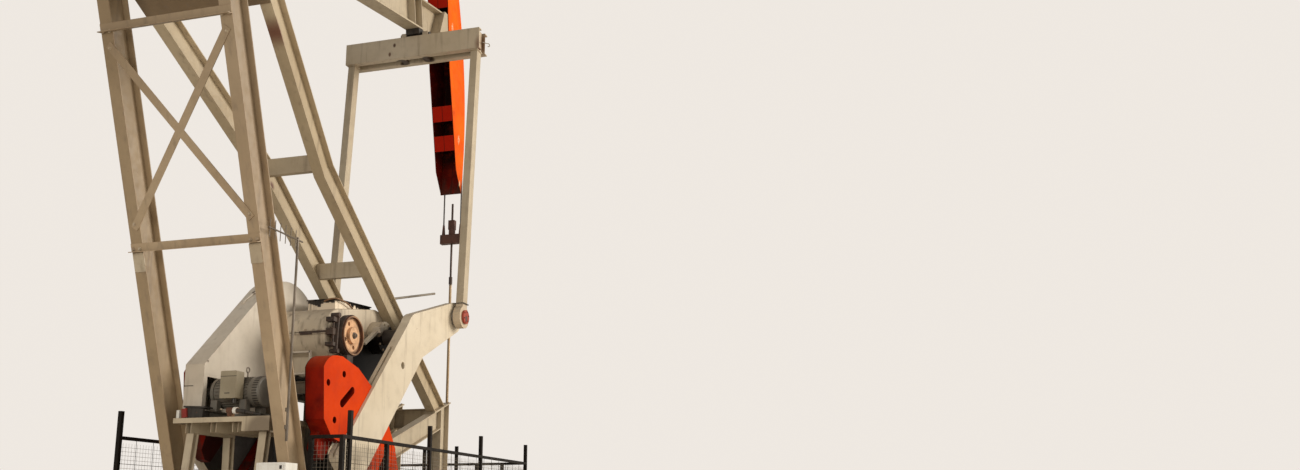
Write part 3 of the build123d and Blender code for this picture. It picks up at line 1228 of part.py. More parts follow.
# Gearbox stand: four posts, ties, and two longitudinal beams under the case
STAND_TOP_Z = CASE_BOTTOM_Z - SEAT
STAND_TIE_HALF = STAND_Y - LEG_WEB_T / 2 - SEAT
with BuildPart() as gearbox_stand:
    with BuildSketch(Plane.XY.offset(RAIL_DEPTH)):
        with GridLocations(STAND_FRONT_X - STAND_REAR_X, 2 * STAND_Y, 2, 2):
            with Locations(((STAND_FRONT_X + STAND_REAR_X) / 2, 0)):
                add(stand_section, rotation=90)
    extrude(amount=STAND_TOP_Z - STAND_BEAM_DEPTH - RAIL_DEPTH)
    with BuildSketch(Plane.YZ.offset(STAND_BEAM_REAR_X)):
        beam_mid_z = STAND_TOP_Z - STAND_BEAM_DEPTH / 2
        with Locations((STAND_Y, beam_mid_z), (-STAND_Y, beam_mid_z)):
            add(stand_beam_section)
    extrude(amount=STAND_BEAM_FRONT_X - STAND_BEAM_REAR_X)
    with BuildSketch(Plane.XZ.offset(-STAND_Y)):
        for tie_x in (STAND_REAR_X, STAND_FRONT_X):
            for tie_z in (STAND_TIE_Z, STAND_TOP_Z - STAND_BEAM_DEPTH / 2):
                with Locations((tie_x, tie_z)):
                    add(stand_tie_section)
    extrude(amount=2 * STAND_Y)
    with BuildSketch(Plane.YZ.offset(STAND_FRONT_X + STAND_POST_DEPTH / 2)):
        with Locations((0, HEADER_MID_Z)):
            Rectangle(2 * FRONT_LEG_Y + POST_FLANGE, HEADER_DEPTH)
    extrude(amount=HEADER_T)
gearbox_stand.part.label = "gearbox_stand"
export_step(gearbox_stand.part, "parts/gearbox_stand.step")

# Belt guard: a sheet-metal box with a round front end and a window for the motor shaft
with BuildSketch() as belt_outline:
    with Locations((INPUT_X, INPUT_Z)):
        Circle(BELT_R)
    with Locations(
        ((BELT_REAR_X + BELT_SHOULDER_X) / 2, (PLATFORM_TOP_Z + SEAT + BELT_SHOULDER_Z) / 2)
    ):
        Rectangle(BELT_SHOULDER_X - BELT_REAR_X, BELT_SHOULDER_Z - PLATFORM_TOP_Z - SEAT)
    make_hull()
with BuildPart() as belt_guard:
    with BuildSketch(Plane.XZ.offset(-BELT_FAR_Y)):
        add(belt_outline.sketch)
    extrude(amount=BELT_FAR_Y - BELT_NEAR_Y)
    with BuildSketch(Plane.XZ.offset(-BELT_FAR_Y + BELT_WALL)):
        offset(belt_outline.sketch, amount=-BELT_WALL)
    extrude(amount=BELT_FAR_Y - BELT_NEAR_Y - 2 * BELT_WALL, mode=Mode.SUBTRACT)
    with BuildSketch(Plane.XZ.offset(-BELT_NEAR_Y - 2 * BELT_WALL)):
        with Locations(
            (
                (BELT_WINDOW_REAR_X + BELT_WINDOW_FRONT_X) / 2,
                (BELT_WINDOW_LOW_Z + BELT_WINDOW_TOP_Z) / 2,
            )
        ):
            Rectangle(
                BELT_WINDOW_FRONT_X - BELT_WINDOW_REAR_X, BELT_WINDOW_TOP_Z - BELT_WINDOW_LOW_Z
            )
        with Locations((INPUT_X, INPUT_Z)):
            Circle(INPUT_BOSS_R + SEAT)
    extrude(amount=3 * BELT_WALL, mode=Mode.SUBTRACT)
belt_guard.part.label = "belt_guard"
export_step(belt_guard.part, "parts/belt_guard.step")

# Motor: ribbed frame, end shields, fan cover, shaft, feet and a terminal box behind
with BuildPart() as motor:
    with BuildSketch(Plane.XZ.offset(-MOTOR_FRONT_Y)):
        with Locations((MOTOR_X, MOTOR_Z)):
            Circle(MOTOR_R - MOTOR_FIN_HEIGHT)
    extrude(amount=MOTOR_FRONT_Y - MOTOR_REAR_Y)
    with BuildSketch(Plane.XZ.offset(-MOTOR_FRONT_Y + 60)):
        with Locations((MOTOR_X, MOTOR_Z)):
            with PolarLocations(MOTOR_R - MOTOR_FIN_HEIGHT, 28):
                Rectangle(2 * MOTOR_FIN_HEIGHT, MOTOR_FIN_T)
    extrude(amount=MOTOR_FRONT_Y - MOTOR_REAR_Y - 120)
    for shield_y in (MOTOR_FRONT_Y, MOTOR_REAR_Y + 40):
        with BuildSketch(Plane.XZ.offset(-shield_y)):
            with Locations((MOTOR_X, MOTOR_Z)):
                Circle(MOTOR_R - 6)
        extrude(amount=40)
    with BuildSketch(Plane.XY.offset(PLATFORM_TOP_Z + MOTOR_RAIL_HEIGHT)):
        with Locations((MOTOR_X, (MOTOR_FRONT_Y + MOTOR_REAR_Y) / 2)):
            with GridLocations(2 * MOTOR_RAIL_SPREAD, MOTOR_FRONT_Y - MOTOR_REAR_Y - 160, 2, 2):
                Rectangle(90, 90)
    extrude(amount=MOTOR_FOOT_HEIGHT)
    with BuildSketch(Plane.XZ.offset(-MOTOR_FRONT_Y)):
        with Locations((MOTOR_X, MOTOR_Z)):
            Circle(MOTOR_SHAFT_R)
    extrude(amount=-(BELT_NEAR_Y + 110 - MOTOR_FRONT_Y))
motor.part.label = "motor"
export_step(motor.part, "parts/motor.step")

with BuildPart() as motor_fan_cover:
    with BuildSketch(Plane.XZ.offset(-MOTOR_REAR_Y + SEAT)):
        with Locations((MOTOR_X, MOTOR_Z)):
            Circle(MOTOR_R)
    extrude(amount=FAN_COVER_LENGTH)
    fillet(motor_fan_cover.edges().sort_by(Axis.Y)[0], 30)
motor_fan_cover.part.label = "motor_fan_cover"
export_step(motor_fan_cover.part, "parts/motor_fan_cover.step")

with BuildPart() as terminal_box:
    with BuildSketch(Plane.YZ.offset(MOTOR_X - MOTOR_R - SEAT)):
        with Locations((BOX_Y, MOTOR_Z + 60)):
            RectangleRounded(BOX_WIDTH, BOX_HEIGHT, 12)
    extrude(amount=-BOX_DEPTH)
terminal_box.part.label = "terminal_box"
export_step(terminal_box.part, "parts/terminal_box.step")

# Slide rails under the motor feet, along X
RAIL_TOP_Z = PLATFORM_TOP_Z + MOTOR_RAIL_HEIGHT - SEAT
with BuildPart() as motor_rails:
    with BuildSketch(Plane.YZ.offset(PLATFORM_REAR_X + 60)):
        foot_half = (MOTOR_FRONT_Y - MOTOR_REAR_Y - 160) / 2
        with Locations(((MOTOR_FRONT_Y + MOTOR_REAR_Y) / 2, PLATFORM_TOP_Z + MOTOR_RAIL_HEIGHT / 2)):
            with Locations((foot_half, 0), (-foot_half, 0)):
                add(i_section(MOTOR_RAIL_HEIGHT - 2 * SEAT, MOTOR_RAIL_WIDTH, 10, 12))
    extrude(amount=PLATFORM_FRONT_X - PLATFORM_REAR_X - 120)
motor_rails.part.label = "motor_rails"
export_step(motor_rails.part, "parts/motor_rails.step")

# Motor platform: chequer plate on ribs, carried by four legs on the base frame
PLATE_MID_X = (PLATFORM_REAR_X + PLATFORM_FRONT_X) / 2
PLATE_LENGTH = PLATFORM_FRONT_X - PLATFORM_REAR_X
with BuildPart() as motor_platform:
    with BuildSketch(Plane.XY.offset(PLATFORM_TOP_Z - PLATFORM_T)):
        with Locations((PLATE_MID_X, 0)):
            Rectangle(PLATE_LENGTH, 2 * PLATFORM_HALF_Y)
    extrude(amount=PLATFORM_T)
    with BuildSketch(Plane.XY.offset(PLATFORM_TOP_Z - PLATFORM_EDGE)):
        with Locations((PLATE_MID_X, 0)):
            Rectangle(PLATE_LENGTH, 2 * PLATFORM_HALF_Y)
            Rectangle(PLATE_LENGTH - 2 * PLATFORM_T, 2 * (PLATFORM_HALF_Y - PLATFORM_T), mode=Mode.SUBTRACT)
    extrude(amount=PLATFORM_EDGE)
    with BuildSketch(Plane.XY.offset(PLATFORM_TOP_Z - PLATFORM_T - PLATFORM_RIB)):
        with Locations((PLATE_MID_X, 0)):
            for rib_y in (-500, -150, 150, 500):
                with Locations((0, rib_y)):
                    Rectangle(PLATE_LENGTH - 160, 80)
                    Rectangle(PLATE_LENGTH - 159, 64, mode=Mode.SUBTRACT)
    extrude(amount=PLATFORM_RIB)
    with BuildSketch(Plane.XY.offset(PLATFORM_TOP_Z - APRON_DEPTH)):
        with Locations((PLATFORM_REAR_X + PLATFORM_T / 2, (APRON_INNER_Y - PLATFORM_HALF_Y) / 2)):
            Rectangle(PLATFORM_T, APRON_INNER_Y + PLATFORM_HALF_Y)
        with Locations((PLATFORM_REAR_X + PLATFORM_RIB / 2, PLATFORM_T / 2 - PLATFORM_HALF_Y)):
            Rectangle(PLATFORM_RIB, PLATFORM_T)
    extrude(amount=APRON_DEPTH)
motor_platform.part.label = "motor_platform"
export_step(motor_platform.part, "parts/motor_platform.step")

PLATFORM_LEG_TOP_Z = PLATFORM_TOP_Z - PLATFORM_T - PLATFORM_RIB - SEAT
with BuildPart() as platform_legs:
    for foot_x, top_x in ((REAR_CROSS_X, PLATFORM_REAR_X + 170), (LEG_CROSS_X, PLATFORM_FRONT_X - 150)):
        leg_foot = (foot_x, 500, RAIL_DEPTH)
        leg_top = (top_x, 500, PLATFORM_LEG_TOP_Z)
        with BuildSketch(member_plane(leg_foot, leg_top).offset(-PLATFORM_LEG)):
            add(i_section(PLATFORM_LEG, PLATFORM_LEG, 8, 10))
        extrude(amount=distance(leg_foot, leg_top) + 2 * PLATFORM_LEG)
    split(bisect_by=Plane.XY.offset(RAIL_DEPTH), keep=Keep.TOP)
    split(bisect_by=Plane.XY.offset(PLATFORM_LEG_TOP_Z), keep=Keep.BOTTOM)
    mirror(about=Plane.XZ)
platform_legs.part.label = "platform_legs"
export_step(platform_legs.part, "parts/platform_legs.step")

# Control box on two brackets behind the right rear leg
bracket_plane = Plane(
    origin=(LEG_CROSS_X - rear_half, 0, RAIL_DEPTH), x_dir=(0, 1, 0), z_dir=(-1, 0, rear_lean)
).offset(SEAT)
CABINET_MID_Z = (CABINET_LOW_Z + CABINET_TOP_Z) / 2
with BuildPart() as control_box:
    with BuildSketch(Plane.YZ.offset(CABINET_FRONT_X)):
        for arm_z in (CABINET_LOW_Z + 120, CABINET_TOP_Z - 120):
            with Locations((-RAIL_Y, arm_z)):
                Rectangle(LEG_FLANGE - 20, 40)
    extrude(amount=LEG_CROSS_X - CABINET_FRONT_X)
    split(bisect_by=bracket_plane, keep=Keep.TOP)
    with BuildSketch(Plane.YZ.offset(CABINET_FRONT_X)):
        with Locations((CABINET_Y, CABINET_MID_Z)):
            RectangleRounded(CABINET_WIDTH, CABINET_TOP_Z - CABINET_LOW_Z, 14)
    extrude(amount=-CABINET_DEPTH)
control_box.part.label = "control_box"
export_step(control_box.part, "parts/control_box.step")

# Mast for a small aerial, clamped to the side of the right rear leg
with BuildPart() as antenna:
    with BuildSketch(Plane.XY.offset(MAST_LOW_Z)):
        with Locations((MAST_X, MAST_Y)):
            Circle(MAST_R)
    extrude(amount=MAST_TOP_Z - MAST_LOW_Z)
    clip_y = (MAST_Y - RAIL_Y - LEG_FLANGE / 2 - SEAT) / 2
    with Locations((MAST_X, clip_y, MAST_CLIP_TOP_Z), (MAST_X, clip_y, MAST_CLIP_LOW_Z)):
        Box(60, abs(MAST_Y) - RAIL_Y - LEG_FLANGE / 2 - SEAT, 45)
    with BuildSketch(Plane.YZ.offset(MAST_X - BOOM_LENGTH + 100)):
        with Locations((MAST_Y, MAST_TOP_Z - 30)):
            Circle(10)
    extrude(amount=BOOM_LENGTH)
    with BuildSketch(Plane.XY.offset(MAST_TOP_Z - 140)):
        for rod in range(0, 6):
            with Locations((MAST_X - BOOM_LENGTH + 130 + rod * 105, MAST_Y)):
                Circle(5)
    extrude(amount=220)
antenna.part.label = "antenna"
export_step(antenna.part, "parts/antenna.step")

# Thin standoff arm on the upper face of the right front leg
arm_root_x = ARM_END_X - 1500
arm_root = (arm_root_x, -FRONT_LEG_Y, ARM_END_Z - 1500 * 0.268)
with BuildPart() as standoff_arm:
    with BuildSketch(member_plane(arm_root, (ARM_END_X, -FRONT_LEG_Y, ARM_END_Z)).offset(-200)):
        Circle(ARM_R)
    extrude(amount=distance(arm_root, (ARM_END_X, -FRONT_LEG_Y, ARM_END_Z)) + 200)
    leg_face = Plane(origin=front_foot, x_dir=(0, 1, 0), z_dir=lower_plane.y_dir * -1)
    split(bisect_by=leg_face.offset(FRONT_LEG_DEPTH / 2 + SEAT), keep=Keep.TOP)
standoff_arm.part.label = "standoff_arm"
export_step(standoff_arm.part, "parts/standoff_arm.step")

# Guard fence: posts, rails and the stiffer wires of its welded mesh
POST_HALF = GUARD_POST / 2
GUARD_FACE = GUARD_Y - POST_HALF
RIGHT_POSTS = (GUARD_REAR_RIGHT_X, -1410)
RIGHT_TALL_POSTS = (-2340, -170, 1640, GUARD_FRONT_X)
LEFT_POSTS = (-1410, -170, 1640)
LEFT_TALL_POSTS = (GUARD_REAR_LEFT_X, GUARD_FRONT_X)


def guard_bars(start, end, posts, tall_posts):
    """Posts and three rails of one side, from start to end along local X."""
    with BuildSketch() as bars:
        for post_x in posts:
            with Locations((post_x, GUARD_POST_TOP / 2)):
                Rectangle(GUARD_POST, GUARD_POST_TOP)
        for post_x in tall_posts:
            with Locations((post_x, GUARD_TALL_TOP / 2)):
                Rectangle(GUARD_POST, GUARD_TALL_TOP)
        for rail_z in (GUARD_LOW_Z, GUARD_MID_Z, GUARD_RAIL_Z):
            with Locations(((start + end) / 2, rail_z)):
                Rectangle(end - start, GUARD_RAIL)
    return bars.sketch


def guard_wires(start, end):
    """Every sixth wire of the mesh, between the lowest and the top rail."""
    across = round((end - start) / WIRE_PITCH)
    rise = GUARD_RAIL_Z - GUARD_LOW_Z
    courses = round(rise / WIRE_PITCH)
    with BuildSketch() as wires:
        for step in range(1, across):
            with Locations((start + step * (end - start) / across, GUARD_LOW_Z + rise / 2)):
                Rectangle(WIRE_T, rise)
        for step in range(1, courses):
            with Locations(((start + end) / 2, GUARD_LOW_Z + step * rise / courses)):
                Rectangle(end - start, WIRE_T)
    return wires.sketch


with BuildPart() as guard_right:
    with BuildSketch(Plane.XZ.offset(GUARD_Y - POST_HALF)):
        add(guard_bars(GUARD_REAR_RIGHT_X, GUARD_FRONT_X, RIGHT_POSTS, RIGHT_TALL_POSTS))
    extrude(amount=GUARD_POST)
    with BuildSketch(Plane.XZ.offset(GUARD_Y - WIRE_T / 2)):
        add(guard_wires(GUARD_REAR_RIGHT_X, GUARD_FRONT_X))
    extrude(amount=WIRE_T)
guard_right.part.label = "guard_right"
export_step(guard_right.part, "parts/guard_right.step")

with BuildPart() as guard_left:
    with BuildSketch(Plane.XZ.offset(-GUARD_Y - POST_HALF)):
        add(guard_bars(GUARD_REAR_LEFT_X, GUARD_FRONT_X, LEFT_POSTS, LEFT_TALL_POSTS))
    extrude(amount=GUARD_POST)
    with BuildSketch(Plane.XZ.offset(-GUARD_Y - WIRE_T / 2)):
        add(guard_wires(GUARD_REAR_LEFT_X, GUARD_FRONT_X))
    extrude(amount=WIRE_T)
guard_left.part.label = "guard_left"
export_step(guard_left.part, "parts/guard_left.step")

FRONT_HALF = GUARD_FACE - SEAT
with BuildPart() as guard_front:
    with BuildSketch(Plane.YZ.offset(GUARD_FRONT_X - POST_HALF)):
        add(guard_bars(-FRONT_HALF, FRONT_HALF, (-927, -450), (-60, 560)))
    extrude(amount=GUARD_POST)
    with BuildSketch(Plane.YZ.offset(GUARD_FRONT_X - WIRE_T / 2)):
        add(guard_wires(-FRONT_HALF, FRONT_HALF))
    extrude(amount=WIRE_T)
guard_front.part.label = "guard_front"
export_step(guard_front.part, "parts/guard_front.step")

# Short return of the fence at its rear right corner, ending beside the rear leg
with BuildPart() as guard_rear:
    with BuildSketch(Plane.YZ.offset(GUARD_REAR_RIGHT_X - POST_HALF)):
        add(guard_bars(-FRONT_HALF, GUARD_REAR_Y, (GUARD_REAR_Y,), ()))
    extrude(amount=GUARD_POST)
    with BuildSketch(Plane.YZ.offset(GUARD_REAR_RIGHT_X - WIRE_T / 2)):
        add(guard_wires(-FRONT_HALF, GUARD_REAR_Y))
    extrude(amount=WIRE_T)
guard_rear.part.label = "guard_rear"
export_step(guard_rear.part, "parts/guard_rear.step")

# Arms that hold the long sides of the fence off the base rails
with BuildPart() as guard_arms:
    with BuildSketch(Plane.XZ.offset(RAIL_Y + RAIL_WEB_T / 2 + SEAT)):
        for arm_x in (-2340, -170, 1640):
            with Locations((arm_x, RAIL_DEPTH / 2)):
                Rectangle(GUARD_ARM, GUARD_ARM)
    extrude(amount=GUARD_FACE - RAIL_Y - RAIL_WEB_T / 2 - 2 * SEAT)
    mirror(about=Plane.XZ)
guard_arms.part.label = "guard_arms"
export_step(guard_arms.part, "parts/guard_arms.step")
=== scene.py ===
# %% [markdown]
# A front-mounted beam pumping unit stands in the open for decades. Its shape
# comes from the CAD frame. This lesson gives it paint, rust, oil, bolts, rope
# and fence wire, and then a plain place to stand in.

# %% Load the frame
import bpy
import bmesh
import json
from math import atan2, cos, hypot, pi, radians, sin, sqrt
from mathutils import Matrix, Vector


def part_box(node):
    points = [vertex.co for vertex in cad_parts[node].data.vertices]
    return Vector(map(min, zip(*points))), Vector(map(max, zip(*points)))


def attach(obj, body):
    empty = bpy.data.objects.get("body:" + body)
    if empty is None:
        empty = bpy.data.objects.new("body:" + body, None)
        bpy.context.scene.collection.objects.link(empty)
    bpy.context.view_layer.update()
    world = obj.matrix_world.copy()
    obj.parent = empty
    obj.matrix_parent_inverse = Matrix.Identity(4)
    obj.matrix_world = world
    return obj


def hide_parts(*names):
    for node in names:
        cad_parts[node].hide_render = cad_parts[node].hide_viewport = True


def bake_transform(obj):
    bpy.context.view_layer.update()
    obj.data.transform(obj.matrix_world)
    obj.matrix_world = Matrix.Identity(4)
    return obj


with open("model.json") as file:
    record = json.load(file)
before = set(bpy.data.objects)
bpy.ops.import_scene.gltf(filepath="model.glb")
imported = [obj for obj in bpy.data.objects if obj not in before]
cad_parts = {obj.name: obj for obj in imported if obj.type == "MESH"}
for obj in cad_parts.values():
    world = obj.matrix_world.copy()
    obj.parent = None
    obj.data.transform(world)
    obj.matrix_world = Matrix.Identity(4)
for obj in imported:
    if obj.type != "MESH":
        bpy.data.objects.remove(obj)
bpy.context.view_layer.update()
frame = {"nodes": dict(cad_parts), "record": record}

# %% Places that several steps share, in metres
PIVOT = Vector((-4.75, 0, 8.55))
DRUM_X, DRUM_Z = -1.04, 4.07
PIN_X, PIN_Z, PIN_CAP_Y = 1.245, 4.726, 1.235
SPLIT_Z, LID_Z, COVER_TOP_Z = DRUM_Z, 4.70, 4.634
ROPE_RADIUS = 0.014
print("saddle pin", tuple(PIVOT), "drum", (DRUM_X, DRUM_Z), "crank pins", (PIN_X, PIN_Z))

# %% [markdown]
# The picture was taken from low down, behind the unit and to its right, and
# looks up. The camera's place, its two angles, the lens and the shift were
# solved from straight edges in the picture. A camera turned by its own axes
# is clearer than a track-to constraint.

# %% The camera
YAW, PITCH, ROLL = radians(16.095), radians(10.806), radians(0.043)
CAMERA_PLACE = (-13.392, -7.739, 1.60)
FOCAL_PIXELS, CENTRE_COLUMN, CENTRE_ROW = 1035.68, 606.73, 323.32
WIDE, HIGH, SENSOR_MM = 1300, 470, 36

ahead = Vector((cos(YAW) * cos(PITCH), sin(YAW) * cos(PITCH), sin(PITCH)))
right = Vector((sin(YAW), -cos(YAW), 0))
up = right.cross(ahead)
lens = bpy.data.cameras.new("camera")
lens.sensor_width = SENSOR_MM
lens.lens = FOCAL_PIXELS * SENSOR_MM / WIDE
lens.shift_x = (WIDE / 2 - CENTRE_COLUMN) / WIDE
lens.shift_y = (CENTRE_ROW - HIGH / 2) / WIDE
lens.clip_end = 400
camera = bpy.data.objects.new("camera", lens)
bpy.context.scene.collection.objects.link(camera)
turn = Matrix((right, up, -ahead)).transposed() @ Matrix.Rotation(ROLL, 3, "Z")
camera.matrix_world = Matrix.Translation(CAMERA_PLACE) @ turn.to_4x4()
bpy.context.scene.camera = camera
print("camera at", [round(v, 2) for v in camera.location])

# %% [markdown]
# Every finish is built from the same few ideas: a base colour that drifts
# over the metre, streaks that run down, rust where the paint has chipped on
# edges, dust, and a fine bump. A small class keeps each recipe short. Object
# coordinates are the frame's own metres, so no pattern jumps between parts.

# %% A class that mixes finishes
class Finish:
    """One paint or metal: a Principled shader and the nodes that feed it."""

    def __init__(self, name):
        self.material = bpy.data.materials.new(name)
        self.material.use_nodes = True
        self.tree = self.material.node_tree
        self.tree.nodes.clear()
        self.shader = self.add("ShaderNodeBsdfPrincipled")
        output = self.add("ShaderNodeOutputMaterial")
        self.tree.links.new(self.shader.outputs[0], output.inputs[0])
        self.place = self.add("ShaderNodeTexCoord").outputs["Object"]
        self.heights = []

    def add(self, kind, **settings):
        node = self.tree.nodes.new(kind)
        for key, value in settings.items():
            setattr(node, key, value)
        return node

    def plug(self, socket, value):
        if isinstance(value, bpy.types.NodeSocket):
            self.tree.links.new(value, socket)
        elif isinstance(value, tuple) and len(value) == 3 and socket.type == "RGBA":
            socket.default_value = (*value, 1)
        else:
            socket.default_value = value

    def noise(self, scale, detail=4.0, rough=0.55, stretch=None):
        """Noise from 0 to 1, about scale spots to the metre."""
        source = self.place
        if stretch:
            mapping = self.add("ShaderNodeMapping")
            self.plug(mapping.inputs["Vector"], source)
            mapping.inputs["Scale"].default_value = stretch
            source = mapping.outputs[0]
        texture = self.add("ShaderNodeTexNoise")
        self.plug(texture.inputs["Vector"], source)
        texture.inputs["Scale"].default_value = scale
        texture.inputs["Detail"].default_value = detail
        texture.inputs["Roughness"].default_value = rough
        return texture.outputs["Fac"]

    def ramp(self, value, low, high, start=0.0, end=1.0):
        """value mapped from low..high to start..end, held at both ends."""
        node = self.add("ShaderNodeMapRange", interpolation_type="SMOOTHSTEP")
        self.plug(node.inputs["Value"], value)
        for key, number in zip(("From Min", "From Max", "To Min", "To Max"),
                               (low, high, start, end)):
            node.inputs[key].default_value = number
        return node.outputs["Result"]

    def math(self, operation, first, second=0.0):
        node = self.add("ShaderNodeMath", operation=operation)
        self.plug(node.inputs[0], first)
        self.plug(node.inputs[1], second)
        return node.outputs[0]

    def times(self, first, second):
        return self.math("MULTIPLY", first, second)

    def plus(self, first, second):
        return self.math("ADD", first, second)

    def minus(self, first, second):
        return self.math("SUBTRACT", first, second)

    def most(self, first, second):
        return self.math("MAXIMUM", first, second)

    def patches(self, grain, low, high, start=0.0, end=1.0):
        """A ramp over noise. grain: the noise's scale, detail and roughness."""
        return self.ramp(self.noise(*grain), low, high, start, end)

    def mix(self, share, under, over):
        node = self.add("ShaderNodeMix", data_type="RGBA")
        self.plug(node.inputs["Factor"], share)
        self.plug(node.inputs["A"], under)
        self.plug(node.inputs["B"], over)
        return node.outputs["Result"]

    def axis(self, letter, source=None):
        """One coordinate of the point, in metres."""
        node = self.add("ShaderNodeSeparateXYZ")
        self.plug(node.inputs[0], source or self.place)
        return node.outputs["XYZ".index(letter)]

    def facing(self, letter):
        """One part of the face's own normal, from -1 to 1."""
        normal = self.add("ShaderNodeNewGeometry").outputs["True Normal"]
        return self.axis(letter, normal)

    def edges(self, radius):
        """1 near sharp edges and inner corners, 0 on flat faces."""
        rounded = self.add("ShaderNodeBevel", samples=4)
        rounded.inputs["Radius"].default_value = radius
        flat = self.add("ShaderNodeNewGeometry").outputs["True Normal"]
        node = self.add("ShaderNodeVectorMath", operation="DOT_PRODUCT")
        self.plug(node.inputs[0], rounded.outputs[0])
        self.plug(node.inputs[1], flat)
        return self.ramp(node.outputs["Value"], 0.99, 0.84)

    def wear(self, radius, grain, low, high, end=1.0):
        """Patches along sharp edges, where paint goes first."""
        return self.times(self.edges(radius), self.patches(grain, low, high, 0.0, end))

    def spot(self, centre, stretch, radius, soft=0.9):
        """1 within radius of a point, measured in stretched metres."""
        total = 0.0
        for letter, middle, scale in zip("XYZ", centre, stretch):
            part = self.minus(self.axis(letter), middle)
            part = self.times(part, scale)
            total = self.plus(self.times(part, part), total)
        return self.ramp(self.math("SQRT", total), radius, radius * soft)

    def relief(self, height, amount):
        """Adds a bump of amount metres."""
        self.heights.append((height, amount))

    def finish(self, colour, roughness, metallic=0.0):
        """Plugs the results into the shader and stacks the bumps."""
        self.plug(self.shader.inputs["Base Color"], colour)
        self.plug(self.shader.inputs["Roughness"], roughness)
        self.plug(self.shader.inputs["Metallic"], metallic)
        below = None
        for height, amount in self.heights:
            bump = self.add("ShaderNodeBump")
            bump.inputs["Strength"].default_value = 0.8
            bump.inputs["Distance"].default_value = amount
            self.plug(bump.inputs["Height"], height)
            if below:
                self.plug(bump.inputs["Normal"], below)
            below = bump.outputs[0]
        if below:
            self.plug(self.shader.inputs["Normal"], below)
        print("finish", self.material.name, len(self.tree.nodes), "nodes")
        return self.material


RUST_DARK = (0.105, 0.042, 0.022)
RUST_LIGHT = (0.27, 0.115, 0.048)
DIRT = (0.17, 0.125, 0.085)
OIL = (0.007, 0.005, 0.004)

# %% [markdown]
# A pale floor catches the shadow. The camera sees an even, warm white sky,
# while the object itself gets a weaker light, so that pale paint doesn't
# clip. One large soft lamp stands to the right, where the real sky is
# brighter. A weak one behind lifts the faces that look back at the camera.

# %% Floor, sky and lamps
FLOOR_RADIUS, FLOOR_CORNERS, FLOOR_Z = 60, 64, -0.002
FLOOR_PALE = (0.66, 0.62, 0.56)
SKY_LIGHT, SKY_SEEN = (1.0, 0.94, 0.86), (0.86, 0.81, 0.755)

ground = Finish("pale_floor")
mottle = ground.noise(0.8, 2.0, 0.5)
mottle = ground.mix(mottle, FLOOR_PALE, tuple(c * 0.96 for c in FLOOR_PALE))
pale_floor = ground.finish(mottle, 0.9)
corners = [2 * pi * k / FLOOR_CORNERS for k in range(FLOOR_CORNERS)]
rim = [(FLOOR_RADIUS * cos(a), FLOOR_RADIUS * sin(a), FLOOR_Z) for a in corners]
floor_mesh = bpy.data.meshes.new("floor")
floor_mesh.from_pydata(rim, [], [list(range(FLOOR_CORNERS))])
floor_mesh.materials.append(pale_floor)
floor = bpy.data.objects.new("floor", floor_mesh)
bpy.context.scene.collection.objects.link(floor)

sky = bpy.data.worlds.new("sky")
bpy.context.scene.world = sky
sky.use_nodes = True
nodes, links = sky.node_tree.nodes, sky.node_tree.links
nodes.clear()
seen = nodes.new("ShaderNodeLightPath")
either = nodes.new("ShaderNodeMath")
either.operation = "MAXIMUM"
links.new(seen.outputs["Is Camera Ray"], either.inputs[0])
links.new(seen.outputs["Is Transmission Ray"], either.inputs[1])
pick = nodes.new("ShaderNodeMixShader")
links.new(either.outputs[0], pick.inputs[0])
for place, colour, strength in ((1, SKY_LIGHT, 0.44), (2, SKY_SEEN, 1.0)):
    glow = nodes.new("ShaderNodeBackground")
    glow.inputs["Color"].default_value = (*colour, 1)
    glow.inputs["Strength"].default_value = strength
    links.new(glow.outputs[0], pick.inputs[place])
world_out = nodes.new("ShaderNodeOutputWorld")
links.new(pick.outputs[0], world_out.inputs[0])


def lamp(name, place, target, size, power, colour):
    """A soft square lamp, aimed at a point."""
    light = bpy.data.lights.new(name, "AREA")
    light.shape, light.size, light.size_y = "RECTANGLE", size, size
    light.energy, light.color = power, colour
    holder = bpy.data.objects.new(name, light)
    bpy.context.scene.collection.objects.link(holder)
    holder.location = place
    aim = Vector(target) - Vector(place)
    holder.rotation_euler = aim.to_track_quat("-Z", "Y").to_euler()


lamp("side_lamp", (10, -24, 13), (-1, 0, 5), 12, 6800, (1.0, 0.93, 0.83))
lamp("rear_lamp", (-15, -3, 4.6), (-2, 0, 2.5), 6, 620, (1.0, 0.94, 0.86))
bpy.context.scene.view_settings.view_transform = "Standard"

# %% [markdown]
# The legs, beam and stand carry one old coat of beige paint. It is brushed
# on thickly, so it has a soft sheen, pale dust on what faces up, brown runs
# below each joint and small rust chips along the flange edges. Two noises at
# very different scales keep it from looking like a repeated tile. Several
# copies carry painted shade: the rear legs, the far rear leg and the head
# plate are darker, and the rear legs darken high up. The stand is dark brown
# with black patches, and the apron under the platform is darker. The inner
# faces of the cranks are black, which is painted shade together with oil.

# %% Beige frame paint
DIM_FROM_Z, DIM_TO_Z = 3.2, 7.8


